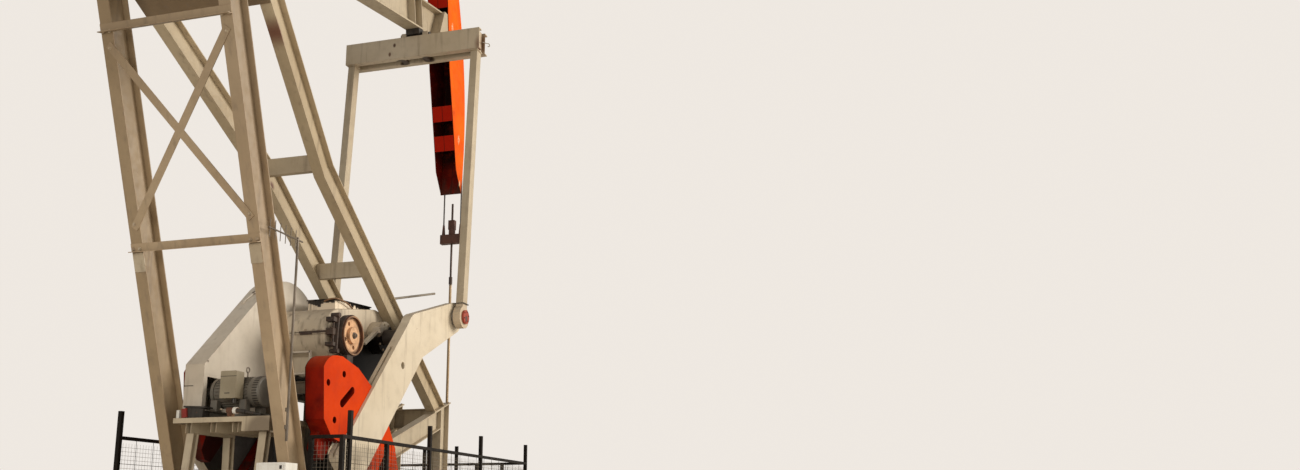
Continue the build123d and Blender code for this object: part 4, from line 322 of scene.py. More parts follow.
def beige(name, light, shade, runs=0.5, chips=0.6, dust=0.55, stains_and_shade=(),
          shade_and_oil_inside=None, dim=0.0):
    """stains: (centre, stretch, radius, how soft, colour) of each.

    shade_and_oil_inside: how far from the middle plane the black ends; the black is painted shade
    between the parts, together with oil.
    dim: how much darker the paint is high up, where the picture has it in shade.
    """
    paint = Finish(name)
    drift = paint.patches((0.55, 3), 0.35, 0.68)
    colour = paint.mix(drift, light, shade)
    cloud = paint.patches((7.0, 5), 0.42, 0.78, 0.0, 0.32)
    colour = paint.mix(cloud, colour, tuple(c * 0.72 for c in shade))
    streak = paint.noise(1.0, 4, 0.6, (11.0, 11.0, 0.75))
    streak = paint.ramp(streak, 0.53, 0.76, 0.0, runs)
    colour = paint.mix(streak, colour, DIRT)
    chip = paint.patches((34.0, 6, 0.65), 0.62, 0.70, 0.0, chips)
    worn = paint.wear(0.007, (16.0, 5), 0.40, 0.62)
    worn = paint.most(worn, paint.times(chip, paint.patches((1.7, 3), 0.50, 0.66)))
    rust = paint.mix(paint.noise(48.0, 3), RUST_DARK, RUST_LIGHT)
    colour = paint.mix(worn, colour, rust)
    above = paint.ramp(paint.facing("Z"), 0.45, 0.95, 0.0, dust)
    colour = paint.mix(above, colour, (0.36, 0.285, 0.20))
    if dim:
        high = paint.ramp(paint.axis("Z"), DIM_FROM_Z, DIM_TO_Z, 0.0, dim)
        colour = paint.mix(high, colour, tuple(c * 0.45 for c in shade))
    # Painted shade and oil: faces near the middle plane turn black in patches.
    if shade_and_oil_inside:
        side = paint.math("ABSOLUTE", paint.axis("Y"))
        inside = paint.ramp(side, shade_and_oil_inside, shade_and_oil_inside - 0.004)
        patchy = paint.patches((2.2, 5, 0.6), 0.22, 0.42, 0.55, 1.0)
        inside = paint.times(inside, patchy)
        colour = paint.mix(inside, colour, (0.035, 0.026, 0.019))
    for centre, stretch, radius, soft, stain in stains_and_shade:
        colour = paint.mix(paint.spot(centre, stretch, radius, soft), colour, stain)
    paint.relief(paint.noise(95.0, 3), 0.0006)
    paint.relief(paint.times(worn, -1.0), 0.0009)
    rough = paint.patches((13.0, 4), 0.3, 0.75, 0.40, 0.66)
    rough = paint.most(rough, paint.times(worn, 0.85))
    return paint.finish(colour, rough)


def both(place, *rest):
    """The same stain on the right and on the left."""
    x, y, z = place
    return [((x, side * y, z), *rest) for side in (-1, 1)]


CAP_RED, CAP_DARK = (0.30, 0.034, 0.012), (0.085, 0.024, 0.014)
OIL_STAIN = (0.055, 0.035, 0.022)
frame_paint = beige("frame_beige", (0.490, 0.415, 0.298), (0.385, 0.312, 0.212))
guard_sheet = beige("belt_guard_beige", (0.610, 0.550, 0.460), (0.520, 0.455, 0.365),
                    runs=0.35, chips=0.35, dust=0.12)
pin_paint = beige(
    "pin_housing_beige", (0.580, 0.490, 0.365), (0.450, 0.360, 0.250),
    runs=0.55, chips=0.5, dust=0.4,
    stains_and_shade=both((PIN_X, PIN_CAP_Y, PIN_Z), (1, 2.4, 1), 0.136, 0.97, CAP_RED)
    + both((PIN_X, PIN_CAP_Y, 4.700), (1, 1.5, 1), 0.060, 0.60, CAP_DARK))
# Painted shade: the rear legs, the far rear leg and the head plate get darker copies of the beige,
# and the rear legs darken high up.
rear_leg_shade_paint = beige("rear_leg_beige", (0.450, 0.338, 0.212), (0.350, 0.252, 0.150), dim=0.50)
far_leg_shade_paint = beige("far_leg_beige", (0.345, 0.252, 0.148), (0.272, 0.192, 0.106), dim=0.30)
head_plate_shade_paint = beige("head_plate_beige", (0.200, 0.140, 0.078), (0.150, 0.100, 0.054))
leg_paint = beige(
    "front_leg_beige", (0.490, 0.400, 0.265), (0.390, 0.305, 0.190),
    stains_and_shade=[((-3.47, -0.75, 7.28), (1, 0.4, 1), 0.27, 0.1, (0.13, 0.028, 0.012)),
            ((-1.65, 0.50, 6.09), (1, 0.2, 1), 0.09, 0.3, (0.13, 0.050, 0.026))])
top_paint = beige(
    "equalizer_beige", (0.540, 0.460, 0.345), (0.440, 0.360, 0.250), chips=0.5,
    stains_and_shade=[((1.44, 0.317, 9.575), (1, 1, 0.7), 0.035, 0.4, (0.09, 0.045, 0.026)),
            ((1.44, 0.400, 9.420), (1, 1, 0.6), 0.032, 0.4, (0.13, 0.065, 0.036)),
            *both((1.62, 0.235, 9.330), (1, 1, 1), 0.13, 0.7, OIL_STAIN),
            ((1.50, -1.240, 9.400), (1, 1, 0.5), 0.12, 0.3, (0.16, 0.075, 0.036)),
            ((1.70, -1.240, 9.520), (1, 1, 0.5), 0.14, 0.3, (0.20, 0.115, 0.062))])
deck_paint = beige(
    "platform_beige", (0.510, 0.430, 0.305), (0.395, 0.320, 0.215), runs=0.6, dust=0.75,
    # Painted shade: the darker spot on the apron below the platform's edge.
    stains_and_shade=[((-2.95, -0.55, 2.62), (1, 1, 1), 0.26, 0.55, (0.190, 0.145, 0.095))])
# Painted shade: the stand is painted dark brown with two near black patches, for the shade it
# stands in.
stand_shade_paint = beige(
    "stand_beige", (0.210, 0.165, 0.110), (0.120, 0.088, 0.056),
    runs=0.8, chips=0.7, dust=0.5,
    stains_and_shade=[((0.10, 0.20, 3.15), (1, 0.5, 1), 0.75, 0.4, (0.012, 0.009, 0.007)),
            ((-1.20, 0.00, 1.90), (1, 0.5, 0.8), 1.35, 0.4, (0.015, 0.011, 0.008))])
# The cranks' black inner faces are painted shade together with oil.
crank_paint = beige("crank_beige", (0.640, 0.560, 0.430), (0.560, 0.475, 0.345),
                    runs=0.40, chips=0.40, shade_and_oil_inside=0.906)

# %% [markdown]
# The gear case weeps oil. Black oil creeps from the lid's edge and from the
# split line and runs down, so the stain follows the height of those joints,
# broken up by noise. Oil is smoother than the paint, with a weak gloss, so
# that it stays black under the sky. The case's low, forward part is black
# too: painted shade under the split flange, together with oil.

# %% Oily gear case paint
LOW_BLACK_SLOPE, LOW_BLACK_Z = 0.62, 4.33


def oily(name, light, shade, lid_run, split_run, shade_and_oil_low=False):
    """lid_run, split_run: how far oil runs from the lid and from the split line.

    shade_and_oil_low: black on all that lies low and forward, under a sloping line; this is painted
    shade under the split flange, together with oil.
    """
    paint = Finish(name)
    colour = paint.mix(paint.patches((0.9, 4), 0.35, 0.7), light, shade)
    height = paint.axis("Z")
    ragged = paint.noise(1.0, 5, 0.65, (16.0, 16.0, 2.2))
    below_lid = paint.plus(height, paint.times(ragged, lid_run))
    oil = paint.ramp(below_lid, LID_Z - 0.05 + lid_run * 0.36, LID_Z - 0.03 + lid_run * 0.38)
    from_split = paint.math("ABSOLUTE", paint.minus(height, SPLIT_Z))
    from_split = paint.minus(from_split, paint.times(ragged, split_run))
    seam = paint.ramp(from_split, 0.01 - split_run * 0.45, -split_run * 0.52)
    streak = paint.ramp(paint.noise(1.0, 4, 0.6, (9.0, 9.0, 0.6)), 0.50, 0.74, 0.0, 0.75)
    colour = paint.mix(streak, colour, (0.115, 0.082, 0.056))
    worn = paint.wear(0.010, (13.0, 5), 0.38, 0.60)
    colour = paint.mix(worn, colour, RUST_DARK)
    oil_and_shade_black = paint.most(oil, seam)
    # Painted shade and oil: all below a sloping line, low and forward, turns black.
    if shade_and_oil_low:
        line = paint.times(paint.axis("X"), LOW_BLACK_SLOPE)
        below = paint.minus(paint.plus(line, LOW_BLACK_Z), height)
        wavy = paint.times(paint.noise(5.0, 5, 0.65), 0.22)
        below = paint.plus(below, wavy)
        oil_and_shade_black = paint.most(oil_and_shade_black, paint.ramp(below, 0.06, 0.15))
    colour = paint.mix(oil_and_shade_black, colour, OIL)
    dust = paint.ramp(paint.facing("Z"), 0.5, 0.95, 0.0, 0.5)
    colour = paint.mix(dust, colour, (0.25, 0.19, 0.13))
    paint.relief(paint.noise(60.0, 3), 0.0010)
    rough = paint.patches((10.0, 4), 0.3, 0.75, 0.42, 0.66)
    rough = paint.mix(oil_and_shade_black, rough, (0.38, 0.38, 0.38))
    gloss = paint.ramp(oil_and_shade_black, 0.0, 1.0, 0.5, 0.12)
    paint.plug(paint.shader.inputs["Specular IOR Level"], gloss)
    return paint.finish(colour, rough)


case_paint = oily("case_beige", (0.610, 0.525, 0.400), (0.480, 0.400, 0.290),
                  0.10, 0.040, shade_and_oil_low=True)
cover_paint = oily("cover_beige", (0.890, 0.765, 0.590), (0.740, 0.620, 0.460), 0.26, 0.0)
lid_paint = oily("lid_oil", (0.060, 0.045, 0.032), (0.030, 0.023, 0.018), 0.30, 0.0)

# %% [markdown]
# Weights and head are sprayed bright orange on the faces that look sideways.
# Rims, backs and insides are dark red, and on the head's back that dark red
# is partly painted shade; high up, the head's inside is near black, painted
# shade too. The split follows the face's own direction and its place across
# the unit. The head's orange is brighter than the weights', painted sunlight,
# and all of it gets darker, in streaks, towards the bottom.

# %% Orange paint over dark red
HEAD_BACK_X, HEAD_BACK_LEAN, HEAD_BACK_SOFT = 3.97, 0.12, 0.04
HEAD_DARK_FROM_Z, HEAD_DARK_TO_Z = 7.85, 8.15


def orange(name, bright_orange, dark_red, outer_y, face_share, lowest, highest, ties=None, inner_y=0.0,
           bright_above=None, scuffs=()):
    """fresh and old: two colours each, which one noise blends.

    outer_y: how far from the middle plane the fresh paint starts.
    face_share: how fresh the faces are that look forward.
    lowest, highest: the paint gets darker, in streaks, from the second height down to the first.
    ties: colour of the plates that join the two sides of the head at the back. With ties given, the
    head's inside is also painted near black high up, as painted shade.
    inner_y: black oil lies on what is closer to the middle plane.
    bright_above: height above which the old paint is brighter.
    scuffs: (centre, radius) of each place where paint is rubbed off.
    """
    paint = Finish(name)
    bright = paint.mix(paint.patches((1.6, 4), 0.35, 0.7), *bright_orange)
    dark = paint.mix(paint.patches((3.0, 5), 0.35, 0.7), *dark_red)
    side = paint.math("ABSOLUTE", paint.axis("Y"))
    outside = paint.ramp(side, outer_y - 0.004, outer_y - 0.001)
    across = paint.math("ABSOLUTE", paint.facing("Y"))
    flat = paint.ramp(across, 0.3, 0.6)
    share = paint.times(outside, flat)
    forward = paint.ramp(paint.facing("X"), 0.75, 0.95, 0.0, face_share)
    share = paint.most(share, forward)
    if ties:
        inside = paint.ramp(side, outer_y - 0.010, outer_y - 0.014)
        # Painted shade: high up, the head's inside turns near black.
        high = paint.ramp(paint.axis("Z"), HEAD_DARK_FROM_Z, HEAD_DARK_TO_Z)
        high = paint.times(inside, high)
        dark = paint.mix(high, dark, (0.016, 0.0035, 0.0025))
        behind = paint.times(paint.axis("Z"), HEAD_BACK_LEAN)
        behind = paint.plus(paint.axis("X"), behind)
        back = paint.ramp(behind, HEAD_BACK_X + HEAD_BACK_SOFT, HEAD_BACK_X)
        back = paint.times(back, inside)
        back = paint.times(back, paint.ramp(paint.facing("X"), -0.4, -0.7))
        dark = paint.mix(back, dark, ties)
    if bright_above:
        above = paint.ramp(paint.axis("Z"), bright_above - 0.25, bright_above, 0.0, 0.75)
        dark = paint.mix(above, dark, (0.42, 0.040, 0.001))
    # Bright orange where share is high, dark red elsewhere; on the head's back the dark red is
    # partly painted shade.
    colour = paint.mix(share, dark, bright)
    fade = paint.patches((5.5, 5), 0.50, 0.80, 0.0, 0.40)
    colour = paint.mix(fade, colour, (0.42, 0.035, 0.006))
    # Darker towards the bottom, in streaks.
    darker_low_streaks = paint.noise(1.0, 5, 0.65, (8.0, 8.0, 0.9))
    low = paint.ramp(paint.axis("Z"), highest, lowest, 0.0, 0.34)
    darker_low_streaks = paint.ramp(paint.plus(darker_low_streaks, low), 0.62, 0.82, 0.0, 0.80)
    colour = paint.mix(darker_low_streaks, colour, (0.060, 0.024, 0.017))
    worn = paint.wear(0.009, (15.0, 5), 0.42, 0.62)
    chip = paint.patches((26.0, 6, 0.65), 0.66, 0.72, 0.0, 0.7)
    worn = paint.most(worn, chip)
    colour = paint.mix(worn, colour, RUST_DARK)
    oil = paint.ramp(side, inner_y + 0.01, inner_y, 0.0, 0.92)
    colour = paint.mix(oil, colour, (0.030, 0.006, 0.004))
    for centre, radius in scuffs:
        mark = paint.spot(centre, (1, 1, 0.45), radius, 0.4)
        mark = paint.times(mark, paint.patches((30.0, 5), 0.35, 0.6))
        colour = paint.mix(mark, colour, (0.62, 0.42, 0.26))
    paint.relief(paint.noise(38.0, 4), 0.0012)
    paint.relief(paint.times(worn, -1.0), 0.0010)
    rough = paint.patches((9.0, 4), 0.3, 0.75, 0.42, 0.66)
    paint.shader.inputs["Specular IOR Level"].default_value = 0.06
    return paint.finish(colour, rough)


weight_paint = orange(
    "weight_orange", ((0.62, 0.046, 0.000), (0.50, 0.030, 0.000)),
    ((0.25, 0.010, 0.002), (0.11, 0.004, 0.002)), 1.000, 0.0, 1.80, 3.10,
    inner_y=0.745, bright_above=3.62)
SCUFFS = (((2.616, -0.2, 10.40), 0.050), ((3.023, -0.2, 8.40), 0.050),
          ((3.112, -0.2, 7.60), 0.035))
# Painted light: the head's orange is brighter than the weights', for the sun on its sides.
head_paint = orange(
    "head_orange", ((0.80, 0.125, 0.002), (0.68, 0.085, 0.002)),
    ((0.155, 0.006, 0.002), (0.075, 0.004, 0.002)), 0.200, 0.85, 7.3, 8.0,
    ties=(0.42, 0.011, 0.002), scuffs=SCUFFS)

# %% [markdown]
# Pins, rod and shaft are bare steel with old grease, the brake drum is cast
# iron that rusts evenly, and rope is black with grease. Metal needs its own
# recipe: high metallic where it still shines, none where rust or grease
# covers it.

# %% Steel, iron, rope and grease
def bare(name, steel, film, film_share, shine, dark_above=None):
    """film: the grease on the steel. dark_above: height above which it is dark."""
    metal = Finish(name)
    cover = metal.ramp(metal.noise(12.0, 5, 0.6, (1.0, 1.0, 0.35)), 0.36, 0.66,
                       0.15, film_share)
    colour = metal.mix(cover, steel, film)
    spots = metal.patches((40.0, 5), 0.60, 0.72, 0.0, 0.7)
    colour = metal.mix(spots, colour, RUST_DARK)
    if dark_above:
        above = metal.ramp(metal.axis("Z"), dark_above - 0.02, dark_above + 0.04)
        colour = metal.mix(above, colour, (0.045, 0.026, 0.018))
    metal.relief(metal.noise(70.0, 3), 0.0007)
    rough = metal.ramp(cover, 0.0, 1.0, 0.30, 0.62)
    metallic = metal.ramp(cover, 0.0, 1.0, shine, 0.08)
    return metal.finish(colour, rough, metallic)


bare_steel = bare("greased_steel", (0.36, 0.33, 0.29), (0.060, 0.044, 0.032), 0.95, 0.85)
rod_steel = bare("rod_steel", (0.30, 0.215, 0.125), (0.40, 0.27, 0.145), 0.90, 0.50, 5.75)
carrier_steel = bare("carrier_rust", (0.110, 0.040, 0.024), (0.060, 0.022, 0.014), 0.95, 0.15)
galvanised = bare("galvanised_steel", (0.30, 0.265, 0.215), (0.195, 0.160, 0.120), 0.90, 0.35)
mast_steel = bare("mast_steel", (0.150, 0.120, 0.088), (0.095, 0.072, 0.050), 0.90, 0.30)
grease_black = bare("grease_black", (0.050, 0.042, 0.034), (0.018, 0.014, 0.011), 0.95, 0.20)
rope_steel = bare("rope_steel", (0.090, 0.080, 0.070), (0.026, 0.022, 0.019), 0.95, 0.45)
bolt_steel = bare("bolt_steel", (0.30, 0.265, 0.22), (0.125, 0.085, 0.058), 0.90, 0.55)
hose_brown = bare("hose_brown", (0.30, 0.165, 0.075), (0.17, 0.085, 0.040), 0.9, 0.10)
cap_bolt = bare("cap_bolt", (0.17, 0.035, 0.018), (0.09, 0.020, 0.012), 0.9, 0.15)


DRUM_FACE_RADIUS, DRUM_FACE_Y = 0.232, -0.588


def rusty(name, light, dark, tan, face_y=None):
    """tan: light rust on what faces sideways. face_y: Y of the drum's pale face."""
    iron = Finish(name)
    colour = iron.mix(iron.patches((9.0, 6, 0.65), 0.36, 0.66), light, dark)
    disc = iron.ramp(iron.math("ABSOLUTE", iron.facing("Y")), 0.55, 0.85, 0.0, 0.55)
    disc = iron.times(disc, iron.patches((6.0, 5), 0.30, 0.62))
    colour = iron.mix(disc, colour, tan)
    if face_y:
        face = iron.spot((DRUM_X, face_y, DRUM_Z), (1, 0.2, 1), DRUM_FACE_RADIUS, 0.88)
        patchy = iron.patches((7.0, 5), 0.28, 0.6, 0.42, 0.96)
        face = iron.times(face, patchy)
        colour = iron.mix(face, colour, (0.76, 0.46, 0.255))
    pits = iron.patches((55.0, 5), 0.56, 0.72, 0.0, 0.6)
    colour = iron.mix(pits, colour, (0.050, 0.022, 0.014))
    edge = iron.times(iron.edges(0.008), 0.7)
    colour = iron.mix(edge, colour, (0.10, 0.038, 0.020))
    iron.relief(iron.noise(80.0, 5), 0.0012)
    return iron.finish(colour, iron.patches((20.0,), 0.3, 0.7, 0.62, 0.92), 0.05)


drum_iron = rusty("drum_iron", (0.14, 0.055, 0.024), (0.060, 0.024, 0.012),
                  (0.60, 0.37, 0.20), DRUM_FACE_Y)
band_iron = rusty("band_iron", (0.070, 0.045, 0.032), (0.028, 0.020, 0.016),
                  (0.06, 0.045, 0.035))

# %% [markdown]
# The motor, its box and the cabinet have sprayed sheet paint with fine
# dust, and the fence is plain black paint that has turned brown where
# hands and weather have rubbed it. One recipe serves them all.

# %% Sheet paints
def sheet(name, light, shade, dust, rub, gloss=(0.35, 0.6), shine=0.5):
    """rub: the colour under worn edges. gloss: least and most roughness."""
    paint = Finish(name)
    colour = paint.mix(paint.patches((2.4, 4), 0.35, 0.7), light, shade)
    film = paint.ramp(paint.noise(1.0, 5, 0.6, (15.0, 15.0, 1.6)), 0.45, 0.78, 0.0, 0.55)
    colour = paint.mix(film, colour, dust)
    top = paint.ramp(paint.facing("Z"), 0.4, 0.9, 0.0, 0.6)
    colour = paint.mix(top, colour, dust)
    worn = paint.wear(0.004, (22.0, 5), 0.42, 0.62, 0.9)
    spots = paint.patches((60.0, 5), 0.64, 0.72, 0.0, 0.5)
    worn = paint.most(worn, spots)
    colour = paint.mix(worn, colour, rub)
    paint.relief(paint.noise(120.0, 3), 0.0004)
    paint.relief(paint.times(worn, -1.0), 0.0005)
    rough = paint.patches((18.0, 4), 0.3, 0.75, *gloss)
    paint.shader.inputs["Specular IOR Level"].default_value = shine
    return paint.finish(colour, rough)


motor_paint = sheet("motor_grey", (0.165, 0.150, 0.122), (0.105, 0.094, 0.076),
                    (0.175, 0.140, 0.098), RUST_DARK)
box_paint = sheet("box_beige", (0.320, 0.275, 0.190), (0.245, 0.205, 0.135),
                  (0.270, 0.215, 0.150), RUST_DARK)
cabinet_paint = sheet("cabinet_white", (0.76, 0.75, 0.70), (0.68, 0.66, 0.60),
                      (0.52, 0.46, 0.37), RUST_LIGHT)
fence_paint = sheet("fence_black", (0.007, 0.006, 0.005), (0.012, 0.009, 0.007),
                    (0.026, 0.018, 0.012), (0.080, 0.034, 0.018), (0.55, 0.85), 0.15)
red_plastic = sheet("red_sheet", (0.26, 0.018, 0.010), (0.14, 0.012, 0.008),
                    (0.10, 0.055, 0.035), RUST_DARK)

# %% Give every CAD node its finish
FINISHES = {
    "frame_paint": frame_paint, "gearbox_paint": case_paint, "crank_paint": crank_paint,
    "orange_paint": weight_paint, "bare_steel": bare_steel, "drum_iron": drum_iron,
    "wire_rope": rope_steel, "motor_paint": motor_paint, "cabinet_paint": cabinet_paint,
    "guard_paint": fence_paint,
}
OWN_FINISH = {node: finish for finish, nodes in (
    (cover_paint, "gearbox_cover"), (lid_paint, "gearbox_lid"),
    (head_paint, "horsehead"), (rod_steel, "polished_rod"), (band_iron, "brake_band"),
    (guard_sheet, "belt_guard"), (box_paint, "terminal_box"), (pin_paint, "pin_bearings"),
    (leg_paint, "front_leg_right front_leg_left"), (top_paint, "equalizer"),
    (grease_black, "equalizer_hub"), (far_leg_shade_paint, "rear_leg_left"),
    (rear_leg_shade_paint, "rear_leg_right post_head rear_braces rear_crossbars"),
    (head_plate_shade_paint, "front_head_plate"), (deck_paint, "motor_platform"),
    (stand_shade_paint, "gearbox_stand"), (carrier_steel, "carrier_bar rod_clamp"),
    (mast_steel, "antenna"), (galvanised, "standoff_arm"), (crank_paint, "crankshaft"),
) for node in nodes.split()}
slot_of = {part["node"]: part["material_slot"] for part in frame["record"]["subparts"]}
for node, shown in frame["nodes"].items():
    finish = OWN_FINISH.get(node) or FINISHES[slot_of[node]]
    for index in range(len(shown.data.materials)):
        shown.data.materials[index] = finish
print("dressed", len(frame["nodes"]), "nodes")

# %% [markdown]
# Bolts, fence wires and rope repeat by rule, so Geometry Nodes make them.
# A small builder class keeps the trees readable. Each result is turned into
# a plain mesh, because the export drops instances.

# %% A class that plants node trees
class Tree:
    """A Geometry Nodes tree with named inputs."""

    def __init__(self, name, inputs):
        self.tree = bpy.data.node_groups.new(name, "GeometryNodeTree")
        face = self.tree.interface
        face.new_socket("Geometry", in_out="INPUT", socket_type="NodeSocketGeometry")
        self.keys = {}
        for label, kind, value in inputs:
            socket = face.new_socket(label, in_out="INPUT", socket_type=kind)
            if value is not None:
                socket.default_value = value
            self.keys[label] = socket.identifier
        face.new_socket("Geometry", in_out="OUTPUT", socket_type="NodeSocketGeometry")
        self.given = self.tree.nodes.new("NodeGroupInput").outputs
        self.result = self.tree.nodes.new("NodeGroupOutput").inputs[0]

    def add(self, kind, *values, **settings):
        """A node whose settings are named and whose inputs follow in order."""
        node = self.tree.nodes.new(kind)
        for key, value in settings.items():
            setattr(node, key, value)
        for key, value in values:
            socket = node.inputs[key]
            if isinstance(value, bpy.types.NodeSocket):
                self.tree.links.new(value, socket)
            else:
                socket.default_value = value
        return node

    def math(self, operation, first, second):
        return self.add("ShaderNodeMath", (0, first), (1, second),
                        operation=operation).outputs[0]

    def vector(self, *lengths):
        """A vector from (axis number, length) pairs."""
        return self.add("ShaderNodeCombineXYZ", *lengths).outputs[0]

    def join(self, *parts):
        node = self.tree.nodes.new("GeometryNodeJoinGeometry")
        for part in reversed(parts):
            self.tree.links.new(part, node.inputs[0])
        return node.outputs[0]

    def end(self, geometry, material):
        real = self.add("GeometryNodeRealizeInstances", (0, geometry))
        coat = self.add("GeometryNodeSetMaterial", (0, real.outputs[0]))
        self.tree.links.new(self.given[material], coat.inputs["Material"])
        self.tree.links.new(coat.outputs[0], self.result)


def plain_object(name, mesh):
    made = bpy.data.objects.new(name, mesh)
    bpy.context.scene.collection.objects.link(made)
    return made


def grown(name, seed_mesh, tree, values, body):
    """Runs a tree on a seed mesh and keeps the result, on a body if one is named."""
    seed = plain_object(name + "_seed", seed_mesh)
    modifier = seed.modifiers.new("grow", "NODES")
    modifier.node_group = tree.tree
    for label, value in values.items():
        modifier[tree.keys[label]] = value
    depsgraph = bpy.context.evaluated_depsgraph_get()
    mesh = bpy.data.meshes.new_from_object(seed.evaluated_get(depsgraph))
    mesh.name = name
    bpy.data.objects.remove(seed)
    piece = plain_object(name, mesh)
    if body:
        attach(piece, body)
    print(name, len(mesh.polygons), "faces on", body or "two bodies")
    return piece


MATERIAL, LENGTH, WHOLE = "NodeSocketMaterial", "NodeSocketFloat", "NodeSocketInt"

# %% [markdown]
# A bolt is a washer, a six-sided head and the stub of its thread. The seed
# mesh is a cloud of points, and each point carries the way its bolt faces
# and its size as attributes.

# %% Bolts
bolt_tree = Tree("bolts", [("Finish", MATERIAL, None)])
shapes = []
for corners, radius, depth, rise in ((14, 1.3, 0.24, 0), (6, 1.0, 0.65, 0.42), (8, 0.5, 0.5, 0.85)):
    shape = bolt_tree.add("GeometryNodeMeshCylinder", ("Vertices", corners),
                          ("Radius", radius), ("Depth", depth))
    shape = bolt_tree.add("GeometryNodeTransform", ("Geometry", shape.outputs["Mesh"]),
                          ("Translation", (0, 0, rise)))
    shapes.append(shape.outputs[0])
facing = bolt_tree.add("GeometryNodeInputNamedAttribute", ("Name", "facing"),
                       data_type="FLOAT_VECTOR")
bolt_size = bolt_tree.add("GeometryNodeInputNamedAttribute", ("Name", "size"),
                          data_type="FLOAT")
turned = bolt_tree.add("FunctionNodeAlignRotationToVector",
                       ("Vector", facing.outputs["Attribute"]), axis="Z")
planted = bolt_tree.add("GeometryNodeInstanceOnPoints", ("Points", bolt_tree.given[0]),
                        ("Instance", bolt_tree.join(*shapes)), ("Rotation", turned.outputs[0]),
                        ("Scale", bolt_size.outputs["Attribute"]))
bolt_tree.end(planted.outputs[0], "Finish")


def bolts(name, body, finish, places):
    """places: (point, the way it faces, head radius) in metres."""
    mesh = bpy.data.meshes.new(name + "_seed")
    mesh.from_pydata([place[0] for place in places], [], [])
    ways = mesh.attributes.new("facing", "FLOAT_VECTOR", "POINT")
    ways.data.foreach_set("vector", [v for place in places for v in place[1]])
    sizes = mesh.attributes.new("size", "FLOAT", "POINT")
    sizes.data.foreach_set("value", [place[2] for place in places])
    return grown(name, mesh, bolt_tree, {"Finish": finish}, body)


def row(start, end, count, way, radius):
    """Evenly spaced bolts from start to end."""
    a, b = Vector(start), Vector(end)
    return [(tuple(a.lerp(b, k / max(count - 1, 1))), way, radius) for k in range(count)]


def ring(centre, radius, count, way, size, first=0.0):
    """Bolts on a circle in the X-Z plane."""
    x, y, z = centre
    return [((x + radius * cos(first + 2 * pi * k / count), y,
              z + radius * sin(first + 2 * pi * k / count)), way, size)
            for k in range(count)]


# %% [markdown]
# The fence is steel tube with welded wire mesh. Straight wires in two
# directions look right at any distance and cost few faces. One point line
# carries the uprights and one the cross wires.

# %% Fence wire
WIRE_PITCH, WIRE_RADIUS = 0.05, 0.0017
FENCE_LOW, FENCE_TOP, FENCE_Y, FENCE_FRONT, FENCE_REAR = 0.12, 2.56, 1.36, 3.62, -2.50
wire_tree = Tree("wire_mesh", [
    ("Finish", MATERIAL, None), ("Uprights", WHOLE, 10), ("Cross wires", WHOLE, 10)])
given = wire_tree.given
wide = wire_tree.math("MULTIPLY", given["Uprights"], WIRE_PITCH)
tall = wire_tree.math("MULTIPLY", given["Cross wires"], WIRE_PITCH)


def wires(count, length, along):
    """A row of count wires that steps along one axis, 0 for X or 2 for Z."""
    line = wire_tree.add("GeometryNodeMeshLine", ("Count", count),
                         ("Offset", wire_tree.vector((along, WIRE_PITCH))))
    wire = wire_tree.add("GeometryNodeMeshCylinder", ("Vertices", 4),
                         ("Radius", WIRE_RADIUS), ("Depth", length))
    axis, turn = (2, 0) if along == 0 else (0, pi / 2)
    shift = wire_tree.vector((axis, wire_tree.math("MULTIPLY", length, 0.5)))
    lay = wire_tree.add("GeometryNodeTransform", ("Geometry", wire.outputs["Mesh"]),
                        ("Translation", shift), ("Rotation", (0, turn, 0)))
    placed = wire_tree.add("GeometryNodeInstanceOnPoints", ("Points", line.outputs[0]),
                           ("Instance", lay.outputs[0]))
    return placed.outputs[0]


uprights = wires(given["Uprights"], tall, 0)
crossings = wires(given["Cross wires"], wide, 2)
wire_tree.end(wire_tree.join(uprights, crossings), "Finish")

def fence_wire(name, start, end):
    """Wire mesh between two corners of a fence side, made flat, then stood up."""
    (x0, y0), (x1, y1) = start, end
    length = hypot(x1 - x0, y1 - y0)
    seed = bpy.data.meshes.new(name + "_seed")
    seed.from_pydata([(0, 0, 0)], [], [])
    values = {"Finish": galvanised, "Uprights": int(length / WIRE_PITCH),
              "Cross wires": int((FENCE_TOP - FENCE_LOW) / WIRE_PITCH)}
    piece = grown(name, seed, wire_tree, values, "frame")
    turn = Matrix.Rotation(atan2(y1 - y0, x1 - x0), 4, "Z")
    piece.data.transform(Matrix.Translation((x0, y0, FENCE_LOW)) @ turn)


for side, node in ((-1, "guard_right"), (1, "guard_left")):
    low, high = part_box(node)
    fence_wire(node.replace("guard", "fence_wire"), (low.x + 0.05, side * FENCE_Y),
               (high.x - 0.03, side * FENCE_Y))
fence_wire("fence_wire_front", (FENCE_FRONT, -1.33), (FENCE_FRONT, 1.33))
fence_wire("fence_wire_rear", (FENCE_REAR, -1.33), (FENCE_REAR, -0.95))

# %% [markdown]
# A rope is six strands laid round a core, and a hose is plain and round. One
# star-shaped section swept along a path gives both: with an inner radius
# below one and a steady twist it is rope, otherwise a smooth pipe. Part of
# the rope lies on the head's curved face and two falls hang to the carrier.

